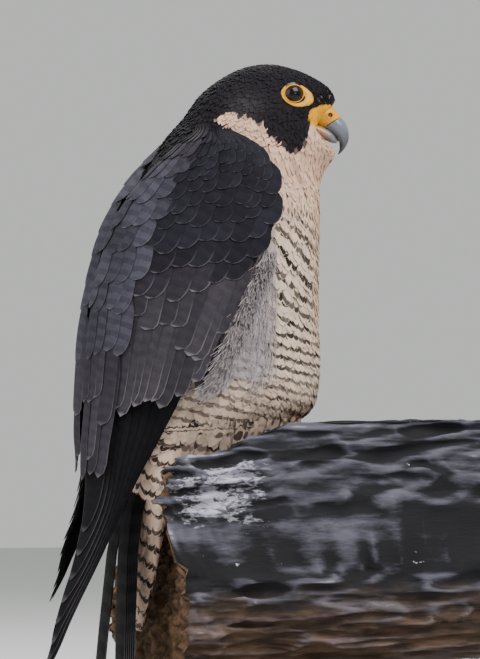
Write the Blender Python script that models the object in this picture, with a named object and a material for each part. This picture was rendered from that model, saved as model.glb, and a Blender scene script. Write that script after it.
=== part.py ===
"""A life-size still model of a perched peregrine falcon on a short length of weathered log.

The bird looks along +X with its left side at +Y. Tables are in millimetres, measured from the
point on the log between its feet, and place() turns them into metres in the model's own frame,
whose origin is the centre of the base's underside.
"""

import math

import bmesh
import bpy
import numpy as np
from mathutils import Matrix, Vector

MM = 0.001
SIDE_NAMES = {-1: "right", 1: "left"}
GAP = 0.35
SAME_POINT = 1e-7
WELD = 3e-6
PERCH_TOP = 180.0
BIRD_X = -25.0

HEAD_TURN = math.radians(-22.0)
HEAD_TURN_RINGS = (13.0, 18.0)

# Body rings from the tail coverts up to the bill: back x, back z, front x, front z, half width.
BODY = (
    (-65.0, -104.0, -61.5, -105.0, 2.0),
    (-66.5, -85.0, -59.0, -86.0, 15.0),
    (-67.0, -58.0, -55.0, -60.0, 23.0),
    (-68.5, -32.0, -49.5, -34.0, 27.0),
    (-71.0, -8.0, -41.5, -9.0, 30.0),
    (-71.0, 10.0, -22.0, 7.0, 34.0),
    (-71.0, 26.0, 8.0, 15.0, 39.0),
    (-72.0, 40.0, 32.0, 21.0, 44.0),
    (-74.0, 54.0, 49.5, 32.0, 47.0),
    (-78.0, 70.0, 54.0, 55.0, 49.0),
    (-82.0, 92.0, 53.0, 84.0, 51.0),
    (-83.0, 115.0, 53.0, 112.0, 52.0),
    (-79.0, 140.0, 53.5, 138.0, 51.0),
    (-68.5, 160.0, 54.0, 158.0, 47.0),
    (-56.5, 178.0, 54.0, 170.0, 42.0),
    (-44.5, 198.0, 57.0, 180.0, 37.0),
    (-33.0, 211.0, 61.0, 186.0, 33.0),
    (-22.0, 226.0, 62.0, 190.0, 29.0),
    (-8.0, 237.0, 60.5, 193.0, 26.5),
    (6.0, 243.5, 58.0, 195.5, 25.0),
    (22.0, 245.5, 55.5, 197.5, 24.0),
    (38.0, 242.0, 53.0, 199.5, 22.0),
    (50.0, 236.5, 51.5, 201.5, 18.5),
    (58.5, 230.5, 50.5, 203.0, 13.5),
    (63.0, 223.0, 50.0, 205.0, 8.5),
)
TAIL_RING = 4.0
NECK_RING = 14.6
HEAD_RING = 16.6
RING_GAP = 0.06

# Wing shell: height, front edge x and y, back edge x and y, with y as the distance to the side.
WING = (
    (-130.0, -123.5, 27.5, -139.5, 10.0),
    (-110.0, -113.5, 28.0, -130.5, 10.0),
    (-90.0, -107.0, 28.5, -123.5, 11.0),
    (-58.0, -94.5, 32.0, -113.0, 9.0),
    (-25.0, -79.0, 38.0, -107.5, 7.0),
    (10.0, -61.0, 45.0, -105.5, 5.5),
    (37.0, -46.0, 51.0, -103.0, 5.0),
    (60.0, -37.0, 55.0, -101.0, 5.0),
    (85.0, -26.0, 59.0, -99.0, 5.0),
    (110.0, -14.5, 60.5, -94.5, 5.0),
    (134.0, -2.0, 60.5, -88.5, 6.0),
    (148.0, 4.5, 59.5, -82.5, 7.0),
    (164.0, 7.0, 58.0, -73.0, 9.0),
    (180.0, 5.0, 55.0, -60.0, 12.0),
    (194.0, -3.0, 48.0, -45.5, 15.0),
    (204.0, -16.0, 35.0, -34.0, 17.0),
)
WING_TOP = 203.0
WING_TIP = -130.0
WING_CLEAR_OF_BODY = 5.5
# The left wing is held a little higher and wider, which moves its tip by this much.
LEFT_TIP_SHIFT = (23.0, 26.0, 43.0)
LEFT_SHIFT_FROM = 60.0

# The wing's core lies under the feathers by these depths, and ends where the long feathers go on alone.
COVERT_BED = -3.8
SCAPULAR_BED = -1.6
BED_CHANGES_AT = 0.67
CORE_LOW_FRONT = 52.0
CORE_LOW_BACK = 38.0
CORE_PLACES = (0.0, 0.15, 0.31, 0.47, 0.63, 0.71, 0.85, 1.0)

VANE_THICK = 0.55
VANE_LIFT = 0.9
ROOT_DEPTH = 1.8
ROOT_LENGTH = 9.0
ROW_STEP = 2.1
SIDE_STEP = 0.95
VANE_OVERLAP = 1.25
TIP_DRAWN_FORWARD = 0.96
# Outline of a vane from its pointed root on: share of its length, of its width, of its thickness.
# At the last row the middle reaches on by TIP_ARCH of the vane's width, which rounds the tip.
BLUNT_VANE = ((0, 0, 1), (0.42, 0.98, 1), (1, 0.74, 0.8))
LONG_VANE = ((0, 0, 1), (0.26, 0.95, 1), (0.7, 1, 1), (1, 0.62, 0.8))
POINTED_VANE = ((0, 0, 1), (0.25, 0.85, 1), (0.55, 1, 1), (0.82, 0.8, 1), (1, 0.38, 0.7))
TAIL_VANE = ((0, 0.6, 1), (0.15, 0.9, 1), (0.6, 1, 1), (1, 0.7, 0.8))
TIP_ARCH = 0.3

# Rows of vanes from the top down: vanes, place across the wing of the first and the last,
# root height, tip height at the front and at the back, outline.
COVERT_ROWS = (
    (4, 0.10, 0.55, 199.0, 172.0, 168.0, BLUNT_VANE),
    (5, 0.08, 0.56, 182.0, 148.0, 146.0, BLUNT_VANE),
    (5, 0.08, 0.57, 164.0, 127.0, 124.0, BLUNT_VANE),
    (6, 0.08, 0.57, 146.0, 106.0, 100.0, BLUNT_VANE),
    (7, 0.07, 0.57, 126.0, 62.0, 82.0, LONG_VANE),
    (7, 0.07, 0.57, 98.0, 44.0, 26.0, LONG_VANE),
)
SCAPULAR_ROWS = (
    (2, 0.72, 0.90, 201.0, 172.0, 166.0, BLUNT_VANE),
    (3, 0.70, 0.93, 180.0, 148.0, 144.0, BLUNT_VANE),
    (3, 0.69, 0.92, 158.0, 122.0, 120.0, BLUNT_VANE),
    (3, 0.68, 0.92, 135.0, 92.0, 96.0, BLUNT_VANE),
    (3, 0.67, 0.91, 110.0, 66.0, 64.0, LONG_VANE),
    (3, 0.66, 0.90, 86.0, -15.0, -6.0, LONG_VANE),
)
# Primaries from the innermost, which lies on top, to the outermost: tip heights.
PRIMARY_TIPS = (-45.0, -67.0, -87.0, -105.0, -119.0, -130.0, -124.0)
PRIMARY_ROOTS = (0.84, 0.12)
PRIMARY_TIP_PLACES = (0.66, 0.5)
PRIMARY_WIDTH = 22.0
PRIMARY_TOP = -5.6
PRIMARY_STEP = 1.3
PRIMARY_TILT = 0.3
# A primary's root lies this far above the core's lower end, and is drawn towards the top one's level
# by this share over this length.
PRIMARY_ROOT_RISE = 14.0
PRIMARY_ROOT_DRAWN = 0.4
PRIMARY_ROOT_FADE = 22.0

EYE_RADIUS = 7.6
EYE_CENTRE = (35.2, 17.8, 225.6)
EYE_LOOKS = (0.24, 0.97, -0.02)
LID_RADIUS = 6.3
LID_THICK = 1.0

# Bill rings in the head's own frame: upper x and z, lower x and z, half width.
CERE = (
    (55.0, 221.0, 46.0, 210.6, 8.2),
    (59.0, 219.6, 48.0, 209.2, 8.6),
    (62.8, 217.0, 51.0, 207.6, 8.2),
    (65.6, 213.0, 54.6, 205.8, 7.2),
)
BILL_UPPER = (
    (66.0, 212.4, 55.2, 205.6, 7.0),
    (69.0, 208.4, 58.6, 203.6, 6.4),
    (70.6, 203.6, 61.6, 201.3, 5.4),
    (70.6, 198.8, 63.6, 198.6, 4.2),
    (69.0, 194.8, 64.7, 195.9, 2.8),
    (66.6, 191.4, 64.8, 192.8, 1.5),
    (64.2, 189.5, 63.9, 190.1, 0.5),
)
BILL_LOWER = (
    (45.0, 208.8, 46.5, 203.6, 7.6),
    (51.0, 206.4, 51.6, 200.9, 6.9),
    (56.2, 203.9, 56.4, 198.2, 5.8),
    (60.6, 200.8, 60.4, 196.4, 4.4),
    (63.2, 197.6, 63.2, 196.0, 2.0),
)
NOSTRIL = (59.0, 213.4)
NOSTRIL_RADIUS = 1.35
NOSTRIL_DEPTH = 2.4

# The tail's two halves: places to the side of the first vane at the root and the tip.
TAIL_HALVES = {-1: (5.0, 23.5), 1: (5.0, 16.5)}
TAIL_VANES = 6
TAIL_WIDTH = 17.0
TAIL_ROOT_Z = -14.0
TAIL_TIP_Z = -145.0
TAIL_BACK = ((-149.0, -82.0), (-123.0, -80.0), (-56.0, -75.0), (-34.0, -71.0), (-14.0, -63.5))
TAIL_STEP = 1.0
TAIL_TIP_STEP = 1.2
TAIL_BOW = 1.6
TAIL_SPREAD_ROOT = 1.8
TAIL_SPREAD_TIP = (1.0, 1.8)

# Thigh rings: x, y to the side, z, half length, half width.
THIGH = (
    (2.0, 24.0, 66.0, 15.0, 13.0),
    (2.0, 28.0, 54.0, 20.0, 17.0),
    (2.0, 30.0, 42.0, 23.0, 18.0),
    (3.0, 29.0, 33.0, 21.0, 16.5),
    (4.0, 27.5, 25.0, 16.5, 13.0),
    (5.0, 26.0, 17.5, 11.0, 9.0),
)
FOOT_X = 6.0
FOOT_Y = 25.0
TOE_RADIUS = 4.0
# Toes: name, direction in degrees outward from straight ahead, length.
TOES = (("middle", 2.0, 43.0), ("inner", -30.0, 32.0), ("outer", 27.0, 35.0), ("hind", 176.0, 20.0))
CLAW_LENGTH = 14.0

# The log's long edges are straight along X; its near side is the one at the bird's right.
LOG_NEAR = -64.0
LOG_FAR = 74.0
LOG_BOTTOM = -126.0
LOG_MIDDLE_Z = -50.0
LOG_FRONT = 156.0
# Height of the near rim along X.
LOG_RIM = ((-78, -2), (-70, 0), (-38, 3), (-10, 14.3), (12, 22.3), (41, 23), (74, 23.6), (139, 24.8))
LOG_WALL_GAIN = 1.24
LOG_WALL_RISE = 12.0
# Broken rear end, as x at a height: along the near edge and across the middle.
LOG_END_NEAR = ((-126, -53), (-95, -56), (-66, -60), (-45, -69), (-23, -78), (0, -76))
LOG_END_MIDDLE = ((-126, -55), (-90, -53), (-60, -47), (-34, -40), (-10, -32), (0, -26))

BASE_LENGTH = 236.0
BASE_WIDTH = 176.0
BASE_THICK = 16.0
BASE_CORNER = 26.0
BASE_BEVEL = 2.5
ROD_RADIUS = 6.0
ROD_PLACES = (("rear", -18.0), ("front", 96.0))
ROD_SIDE = 5.0
ROD_SINK = 20.0

SLATE = ((0.105, 0.105, 0.125), 0.62)
HOOD = ((0.035, 0.034, 0.040), 0.62)
BREAST = ((0.62, 0.53, 0.45), 0.80)
YELLOW = ((0.80, 0.52, 0.07), 0.45)
HORN = ((0.16, 0.17, 0.20), 0.30)
BLACK_HORN = ((0.03, 0.03, 0.035), 0.28)
DARK_EYE = ((0.012, 0.008, 0.006), 0.06)
WEATHERED_WOOD = ((0.10, 0.10, 0.12), 0.85)
BASE_WOOD = ((0.10, 0.055, 0.03), 0.40)
STEEL = ((0.55, 0.55, 0.56), 0.32)


def smooth(rows, t):
    """Values on the Catmull-Rom curve through rows, where t counts rows from 0."""
    rows = np.asarray(rows, float)
    t = np.clip(np.asarray(t, float), 0, len(rows) - 1)
    i = np.minimum(t.astype(int), len(rows) - 2)
    f = (t - i)[:, None]
    before, here = rows[np.maximum(i - 1, 0)], rows[i]
    after, last = rows[i + 1], rows[np.minimum(i + 2, len(rows) - 1)]
    return 0.5 * (
        2 * here
        + (after - before) * f
        + (2 * before - 5 * here + 4 * after - last) * f**2
        + (3 * here - before - 3 * after + last) * f**3
    )


def ease(t):
    """0 below 0, 1 above 1 and a smooth S between."""
    t = np.clip(t, 0, 1)
    return t * t * (3 - 2 * t)


def unit(v):
    """Vectors brought to length 1."""
    return v / np.maximum(np.linalg.norm(v, axis=-1, keepdims=True), 1e-9)


def turned(points, angle):
    """Points turned about the vertical axis through the bird's origin."""
    c, s = np.cos(angle), np.sin(angle)
    x, y, z = points[..., 0], points[..., 1], points[..., 2]
    return np.stack([x * c - y * s, x * s + y * c, z + 0 * x], -1)


def place(points):
    """Bird-frame millimetres to model-frame metres."""
    return (np.asarray(points, float) + (BIRD_X, 0, PERCH_TOP)) * MM


def solid(name, points, faces, finish=None):
    """A mesh object from bird-frame points, with its faces pointing out."""
    mesh = bpy.data.meshes.new(name)
    mesh.from_pydata(place(points).tolist(), [], [tuple(int(i) for i in face) for face in faces])
    work = bmesh.new()
    work.from_mesh(mesh)
    bmesh.ops.remove_doubles(work, verts=work.verts, dist=SAME_POINT)
    bmesh.ops.recalc_face_normals(work, faces=work.faces)
    if work.calc_volume(signed=True) < 0:
        bmesh.ops.reverse_faces(work, faces=work.faces)
    work.to_mesh(mesh)
    work.free()
    obj = bpy.data.objects.new(name, mesh)
    bpy.context.scene.collection.objects.link(obj)
    if finish:
        paint(obj, finish)
    return obj


def paint(obj, finish):
    """Gives an object one material of its own, with the finish's colour and roughness."""
    colour, roughness = finish
    material = bpy.data.materials.new(obj.name)
    material.use_nodes = True
    shader = material.node_tree.nodes["Principled BSDF"]
    shader.inputs["Base Color"].default_value = (*colour, 1)
    shader.inputs["Roughness"].default_value = roughness
    shader.inputs["Metallic"].default_value = 1.0 if finish is STEEL else 0.0
    obj.data.materials.clear()
    obj.data.materials.append(material)


def tube_faces(rings, columns):
    """Triangles round a tube of rings, closed by a fan at each end.

    The two fan centres follow the rings' points.
    """
    faces = []
    for r in range(rings - 1):
        for c in range(columns):
            a, b = r * columns + c, r * columns + (c + 1) % columns
            faces += [(a, b, b + columns), (a, b + columns, a + columns)]
    first, last = rings * columns, rings * columns + 1
    top = (rings - 1) * columns
    for c in range(columns):
        after = (c + 1) % columns
        faces += [(first, after, c), (last, top + c, top + after)]
    return faces


def tube(name, rings, finish=None):
    """A closed solid through an array of rings shaped (rings, columns, 3)."""
    rows, columns = rings.shape[:2]
    points = np.concatenate([rings.reshape(-1, 3), [rings[0].mean(0), rings[-1].mean(0)]])
    return solid(name, points, tube_faces(rows, columns), finish)


def changed(obj, kind, **settings):
    """Applies one modifier to an object's mesh."""
    modifier = obj.modifiers.new(kind.title(), kind)
    for key, value in settings.items():
        setattr(modifier, key, value)
    graph = bpy.context.evaluated_depsgraph_get()
    mesh = bpy.data.meshes.new_from_object(obj.evaluated_get(graph))
    obj.modifiers.clear()
    obj.data = mesh
    return obj


def grown(obj, distance):
    """A copy of a closed solid whose surface stands out by a distance in millimetres."""
    copy = bpy.data.objects.new(obj.name + "_grown", obj.data.copy())
    bpy.context.scene.collection.objects.link(copy)
    mesh = copy.data
    count = len(mesh.vertices)
    places, normals = np.empty(count * 3), np.empty(count * 3)
    mesh.vertices.foreach_get("co", places)
    mesh.vertices.foreach_get("normal", normals)
    mesh.vertices.foreach_set("co", (places + normals * distance * MM).astype(np.float32))
    mesh.update()
    return copy


def cut_clear(obj, other, distance=GAP):
    """Cuts an object clear of another one by the usual gap."""
    cutter = grown(other, distance)
    cut_with(obj, cutter)
    return obj


def cut_with(obj, cutter):
    """Cuts an object with another one, which is then removed."""
    changed(obj, "BOOLEAN", operation="DIFFERENCE", object=cutter, solver="MANIFOLD")
    bpy.data.objects.remove(cutter)
    largest_piece(obj)
    return obj


def joined(name, pieces, finish):
    """One closed node from pieces that overlap: the first one united with the others."""
    whole = pieces[0]
    if len(pieces) > 1:
        others = bpy.data.collections.new(name + "_pieces")
        for piece in pieces[1:]:
            bpy.context.scene.collection.objects.unlink(piece)
            others.objects.link(piece)
        bpy.context.scene.collection.children.link(others)
        changed(
            whole,
            "BOOLEAN",
            operation="UNION",
            operand_type="COLLECTION",
            collection=others,
            solver="MANIFOLD",
        )
        for piece in pieces[1:]:
            bpy.data.objects.remove(piece)
        bpy.data.collections.remove(others)
    whole.name = name
    largest_piece(whole)
    paint(whole, finish)
    return whole


def largest_piece(obj):
    """Keeps only the closed surface with the largest volume."""
    work = bmesh.new()
    work.from_mesh(obj.data)
    bmesh.ops.triangulate(work, faces=work.faces)
    bmesh.ops.remove_doubles(work, verts=work.verts, dist=WELD)
    left, pieces = set(work.faces), []
    while left:
        found, todo = set(), [left.pop()]
        while todo:
            face = todo.pop()
            found.add(face)
            for edge in face.edges:
                for other in edge.link_faces:
                    if other in left:
                        left.discard(other)
                        todo.append(other)
        volume = sum(f.calc_area() * f.normal.dot(f.calc_center_median()) for f in found) / 3
        pieces.append((volume, found))
    pieces.sort(key=lambda piece: piece[0], reverse=True)
    spare = [f for _, found in pieces[1:] for f in found]
    bmesh.ops.delete(work, geom=spare, context="FACES")
    work.to_mesh(obj.data)
    work.free()


def body_rings(s, columns):
    """Rings of the body at the places s: ellipses between its back line and its front line."""
    s = np.asarray(s, float)
    angle = np.linspace(0, 2 * math.pi, columns, endpoint=False)[None]
    row = smooth(BODY, s)
    back, front, width = row[:, 0:2], row[:, 2:4], row[:, 4:5]
    middle, reach = (back + front) / 2, (back - front) / 2
    up, out = np.sin(angle), np.cos(angle)
    points = np.stack(
        [
            middle[:, 0:1] + reach[:, 0:1] * up,
            width * out,
            middle[:, 1:2] + reach[:, 1:2] * up,
        ],
        -1,
    )
    low, high = HEAD_TURN_RINGS
    return turned(points, HEAD_TURN * ease((s - low) / (high - low))[:, None])


def body_part(name, start, end, rings, columns, finish):
    """A length of the body between two places along its rings."""
    return tube(name, body_rings(np.linspace(start, end, rings), columns), finish)


def head_point(x, y, z):
    """A point or a direction of the head's own frame, turned with the head."""
    return turned(np.array([x, y, z], float), HEAD_TURN)


def profile_tube(name, rows, rings, columns, finish):
    """A bill part: ellipses between its upper and lower lines, in the head's own frame."""
    angle = np.linspace(0, 2 * math.pi, columns, endpoint=False)[None]
    row = smooth(rows, np.linspace(0, len(rows) - 1, rings))
    upper, lower, width = row[:, 0:2], row[:, 2:4], row[:, 4:5]
    middle, reach = (upper + lower) / 2, (upper - lower) / 2
    points = np.stack(
        [
            middle[:, 0:1] + reach[:, 0:1] * np.sin(angle),
            width * np.cos(angle),
            middle[:, 1:2] + reach[:, 1:2] * np.sin(angle),
        ],
        -1,
    )
    return tube(name, turned(points, HEAD_TURN), finish)


def new_object(name, work):
    """An object from a bmesh, which is then freed."""
    mesh = bpy.data.meshes.new(name)
    work.to_mesh(mesh)
    work.free()
    obj = bpy.data.objects.new(name, mesh)
    bpy.context.scene.collection.objects.link(obj)
    return obj


def ball(name, centre, radius, rings, columns, axis=(0, 0, 1)):
    """A sphere with its poles on an axis."""
    turn = Vector(axis).to_track_quat("Z", "Y").to_matrix().to_4x4()
    work = bmesh.new()
    bmesh.ops.create_uvsphere(
        work,
        u_segments=columns,
        v_segments=rings,
        radius=radius * MM,
        matrix=Matrix.Translation(place(centre)) @ turn,
    )
    bmesh.ops.triangulate(work, faces=work.faces)
    return new_object(name, work)


def path_tube(name, path, radii, columns, finish=None):
    """A round tube along a path, with a radius at each point."""
    path = np.asarray(path, float)
    along = unit(np.gradient(path, axis=0))
    reference = np.array([0.12, 0.31, 0.94])
    side = unit(np.cross(along, reference))
    third = np.cross(along, side)
    angle = np.linspace(0, 2 * math.pi, columns, endpoint=False)[None, :, None]
    ring = np.cos(angle) * side[:, None] + np.sin(angle) * third[:, None]
    return tube(name, path[:, None] + np.asarray(radii, float)[:, None, None] * ring, finish)


def lid_ring(name, side):
    """The bare rim round one eye, a torus about the way that the eye looks."""
    centre, looks = eye_frame(side)
    across = unit(np.cross(looks, (0, 0, 1)))
    up = np.cross(across, looks)
    rim = centre + looks * math.sqrt(EYE_RADIUS**2 - LID_RADIUS**2)
    turns, sides = 14, 5
    points = []
    for i in range(turns):
        angle = 2 * math.pi * i / turns
        out = math.cos(angle) * across + math.sin(angle) * up
        for j in range(sides):
            around = 2 * math.pi * j / sides
            points.append(
                rim
                + out * (LID_RADIUS + LID_THICK * math.cos(around))
                + looks * LID_THICK * math.sin(around)
            )
    faces = []
    for i in range(turns):
        for j in range(sides):
            a, b = i * sides + j, i * sides + (j + 1) % sides
            c, d = (i + 1) % turns * sides + (j + 1) % sides, (i + 1) % turns * sides + j
            faces += [(a, b, c), (a, c, d)]
    return solid(name, points, faces)


def eye_frame(side):
    """Centre and looking direction of an eye; side is -1 for the right one and 1 for the left."""
    x, y, z = EYE_CENTRE
    lx, ly, lz = EYE_LOOKS
    return head_point(x, side * y, z), unit(head_point(lx, side * ly, lz))


def body_reach(points, clear):
    """Pushes points out of the torso's level ellipses by a clearance."""
    rows = np.array(BODY[8:18])
    z = points[..., 2]
    level = (rows[:, 1] + rows[:, 3]) / 2
    back, front, width = (np.interp(z, level, rows[:, k]) for k in (0, 2, 4))
    centre, half = (front + back) / 2, (front - back) / 2 + clear
    width = width + clear
    x, y = points[..., 0] - centre, points[..., 1]
    inside = np.sqrt((x / half) ** 2 + (y / width) ** 2)
    scale = np.where((z > 30) & (inside < 1), 1 / np.maximum(inside, 0.2), 1)
    return np.stack([centre + x * scale, y * scale, z], -1)


def wing_surface(side, a, z):
    """The folded wing's shell: a runs from the front edge, 0, to the back edge, 1."""
    heights = np.array(WING)[:, 0]
    a, z = np.broadcast_arrays(np.asarray(a, float), np.asarray(z, float))
    row = smooth(WING, np.interp(z, heights, np.arange(len(heights))).ravel())
    fx, fy, bx, by = (row[:, k].reshape(z.shape) for k in range(1, 5))
    x = fx + (bx - fx) * np.sin(a * math.pi / 2)
    y = by + (fy - by) * np.cos(a * math.pi / 2)
    points = body_reach(np.stack([x, side * y, z], -1), WING_CLEAR_OF_BODY)
    if side > 0:
        share = ease((LEFT_SHIFT_FROM - z) / (LEFT_SHIFT_FROM - WING_TIP))
        points = points + share[..., None] * np.array(LEFT_TIP_SHIFT)
    return points


def wing_slopes(side, a, z):
    """Steps along the shell for a unit of a and of z, and its outward normal."""
    step_a, step_z = 0.01, 1.0
    by_a = (wing_surface(side, a + step_a, z) - wing_surface(side, a - step_a, z)) / (2 * step_a)
    by_z = (wing_surface(side, a, z + step_z) - wing_surface(side, a, z - step_z)) / (2 * step_z)
    return by_a, by_z, unit(np.cross(by_z, by_a)) * -side


def slab(name, outer, inner, finish=None):
    """A closed solid between two grids of the same shape, split alike on both."""
    rows, columns = outer.shape[:2]
    count = rows * columns
    points = np.concatenate([outer.reshape(-1, 3), inner.reshape(-1, 3)])
    faces = []
    for r in range(rows - 1):
        for c in range(columns - 1):
            a, b = r * columns + c, r * columns + c + 1
            d, e = a + columns, b + columns
            faces += [(a, b, e), (a, e, d)]
            faces += [(a + count, e + count, b + count), (a + count, d + count, e + count)]
    rim = [r * columns for r in range(rows)]
    rim += [(rows - 1) * columns + c for c in range(1, columns)]
    rim += [r * columns + columns - 1 for r in range(rows - 2, -1, -1)]
    rim += [c for c in range(columns - 2, 0, -1)]
    for a, b in zip(rim, rim[1:] + rim[:1]):
        faces += [(a, b, b + count), (a, b + count, a + count)]
    return solid(name, points, faces, finish)


def wing_core(side):
    """The solid part of the folded wing, under its coverts and scapulars."""
    a = np.array(CORE_PLACES)[None]
    low = CORE_LOW_FRONT + (CORE_LOW_BACK - CORE_LOW_FRONT) * a
    z = WING_TOP + (low - WING_TOP) * np.linspace(0, 1, 7)[:, None]
    middle = wing_surface(side, a, z)
    normal = wing_slopes(side, a, z)[2]
    rim = 0.3 + 0.7 * np.sqrt(np.clip(1 - (2 * a - 1) ** 4, 0, 1))
    thick = np.interp(z, (CORE_LOW_BACK, 120, WING_TOP), (7.0, 8.5, 7.0)) * rim
    top = bed(a) + 0 * z
    outer = middle + normal * top[..., None]
    return slab(f"wing_{SIDE_NAMES[side]}", outer, outer - normal * thick[..., None])


def bed(a):
    """How far the core's outer face lies inside the shell."""
    share = ease((a - BED_CHANGES_AT + 0.04) / 0.08)
    return COVERT_BED + (SCAPULAR_BED - COVERT_BED) * share


def draped_vane(name, side, root, tip, width, height, tilt, outline):
    """A vane laid over the wing's shell, its front edge raised and its back edge tucked down.

    root and tip are places (a, z) on the shell, and height gives the middle's height at z.
    """
    share, wide, thick = np.array(outline).T
    a, z = (np.asarray(root) + (np.asarray(tip) - root) * share[:, None]).T
    by_a, by_z, normal = wing_slopes(side, a, z)
    along = unit(np.gradient(wing_surface(side, a, z), axis=0))
    square = unit(np.cross(normal, along))
    square *= -np.sign(np.sum(square * by_a, -1, keepdims=True))
    from_root = share[:, None] ** 2
    forward = unit(square * from_root - unit(by_a) * (1 - from_root))
    aa, az, zz = np.sum(by_a * by_a, -1), np.sum(by_a * by_z, -1), np.sum(by_z * by_z, -1)
    fa, fz = np.sum(forward * by_a, -1), np.sum(forward * by_z, -1)
    scale = aa * zz - az * az
    to_a, to_z = (fa * zz - fz * az) / scale, (fz * aa - fa * az) / scale
    place_across = np.array([-0.5, 0, 0.5])
    off = place_across * (wide * width)[:, None]
    grid_a = np.clip(a[:, None] + off * to_a[:, None], -0.04, 1.0)
    grid_z = z[:, None] + off * to_z[:, None]
    grid_z[-1, 1] -= TIP_ARCH * width
    lifted = height(grid_z) + tilt * place_across * np.minimum(share * 6, 1)[:, None]
    face = wing_surface(side, grid_a, grid_z)
    out = wing_slopes(side, grid_a, grid_z)[2]
    half = (thick * VANE_THICK / 2)[:, None, None]
    face = face + out * lifted[..., None]
    return slab(name, face + out * half, face - out * half)


def row_heights(rows, number, base):
    """The height of one row's vanes: in the core at the root, then above each row that comes out below."""
    comes_out = np.array([row[3] - ROOT_LENGTH for row in rows])

    def height(z):
        passed = np.interp(-z, -comes_out, np.arange(len(rows)))
        above = base + VANE_LIFT + ROW_STEP * np.maximum(passed - number, 0)
        sunk = np.clip((z - comes_out[number]) / ROOT_LENGTH, 0, 1)
        return above - (VANE_LIFT + ROOT_DEPTH) * sunk

    return height


def row_vanes(side, rows, base):
    """All the vanes of one tract, row by row, each row's back vanes over its front ones."""
    vanes = []
    for number, (count, front, back, root_z, tip_front, tip_back, outline) in enumerate(rows):
        height = row_heights(rows, number, base)
        places = np.linspace(front, back, 40)
        line = wing_surface(side, places, np.full(40, root_z * 0.5 + tip_front * 0.5))
        reach = np.concatenate([[0], np.linalg.norm(np.diff(line, axis=0), axis=1).cumsum()])
        places = np.interp(np.linspace(0, reach[-1], count), reach, places)
        spacing = reach[-1] / (count - 1)
        for i, place_across in enumerate(places):
            tip_z = tip_front + (tip_back - tip_front) * i / (count - 1)
            vanes.append(
                draped_vane(
                    f"vane_{number}_{i}",
                    side,
                    (place_across, root_z),
                    (place_across * TIP_DRAWN_FORWARD, tip_z),
                    spacing * VANE_OVERLAP,
                    height,
                    SIDE_STEP * VANE_OVERLAP,
                    outline,
                )
            )
    return vanes


def primaries(side):
    """The longest feathers, fanned from the core's lower end and stacked at the tip."""
    vanes = []
    count = len(PRIMARY_TIPS)
    for k, tip_z in enumerate(PRIMARY_TIPS):
        a, tip_a = (np.interp(k, (0, count - 1), ends) for ends in (PRIMARY_ROOTS, PRIMARY_TIP_PLACES))
        root_z = CORE_LOW_FRONT + (CORE_LOW_BACK - CORE_LOW_FRONT) * a + PRIMARY_ROOT_RISE
        level = PRIMARY_TOP - PRIMARY_STEP * k

        def height(z, level=level, root_z=root_z, k=k):
            sunk = np.clip((z - root_z + PRIMARY_ROOT_FADE) / PRIMARY_ROOT_FADE, 0, 1)
            return level + sunk * (PRIMARY_ROOT_DRAWN * PRIMARY_STEP * k)

        vanes.append(
            draped_vane(
                f"primary_{k}",
                side,
                (a, root_z),
                (tip_a, tip_z),
                PRIMARY_WIDTH,
                height,
                PRIMARY_TILT,
                POINTED_VANE,
            )
        )
    return vanes


def wing(side, torso, neck):
    """A folded wing: the core with all its vanes, cut clear of the body."""
    pieces = [wing_core(side)]
    pieces += row_vanes(side, COVERT_ROWS, COVERT_BED)
    pieces += row_vanes(side, SCAPULAR_ROWS, SCAPULAR_BED)
    pieces += primaries(side)
    name = f"wing_{SIDE_NAMES[side]}"
    for body in (torso, neck):
        cut_clear(pieces[0], body)
    whole = joined(name, pieces, SLATE)
    for body in (torso, neck):
        cut_clear(whole, body)
    paint(whole, SLATE)


def tail_vane(side, k):
    """One tail feather: the middle ones, k = 0, lie at the back and the outer ones below them."""
    share, wide, thick = np.array(TAIL_VANE).T
    z = TAIL_ROOT_Z + (TAIL_TIP_Z + TAIL_TIP_STEP * k - TAIL_ROOT_Z) * share
    root, tip = TAIL_HALVES[side]
    root += TAIL_SPREAD_ROOT * k
    tip += TAIL_SPREAD_TIP[side > 0] * k
    middle = root + (tip - root) * share
    back = np.interp(z, *np.array(TAIL_BACK).T) - TAIL_STEP * (TAIL_VANES - 1 - k)
    across = np.array([-0.5, 0.0, 0.5])
    y = side * (middle[:, None] + across * (wide * TAIL_WIDTH)[:, None])
    x = back[:, None] + TAIL_BOW * np.abs(across) * wide[:, None]
    down = np.zeros(x.shape)
    down[-1, 1] = TIP_ARCH * TAIL_WIDTH
    face = np.stack([x, y, z[:, None] - down], -1)
    half = np.array([-1.0, 0, 0]) * (thick * VANE_THICK / 2)[:, None, None]
    return slab(f"rectrix_{k}", face + half, face - half)


def tail(torso):
    """The coverts under the tail as a cone, with the tail feathers behind it in two halves."""
    pieces = [body_part("tail", 0.0, TAIL_RING - RING_GAP, 9, 18, SLATE)]
    pieces += [tail_vane(side, k) for side in (-1, 1) for k in range(TAIL_VANES)]
    obj = joined("tail", pieces, SLATE)
    cut_clear(obj, torso)
    paint(obj, SLATE)


def log_top(x, y):
    """Height of the log's upper side: a worn floor at 0 with higher wood beside and ahead.

    The wall on the near side is raised, so that the section's round shoulder brings it to the rim.
    """
    rim = np.interp(x, *np.array(LOG_RIM).T)
    wall = (LOG_WALL_GAIN * rim + LOG_WALL_RISE) * ease((-y - 47) / 9)
    far = 9 * ease((y - 58) / 10)
    ahead = (rim - 2) * ease((x - 68) / 30)
    return np.maximum(np.maximum(wall, far), ahead)


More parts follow.
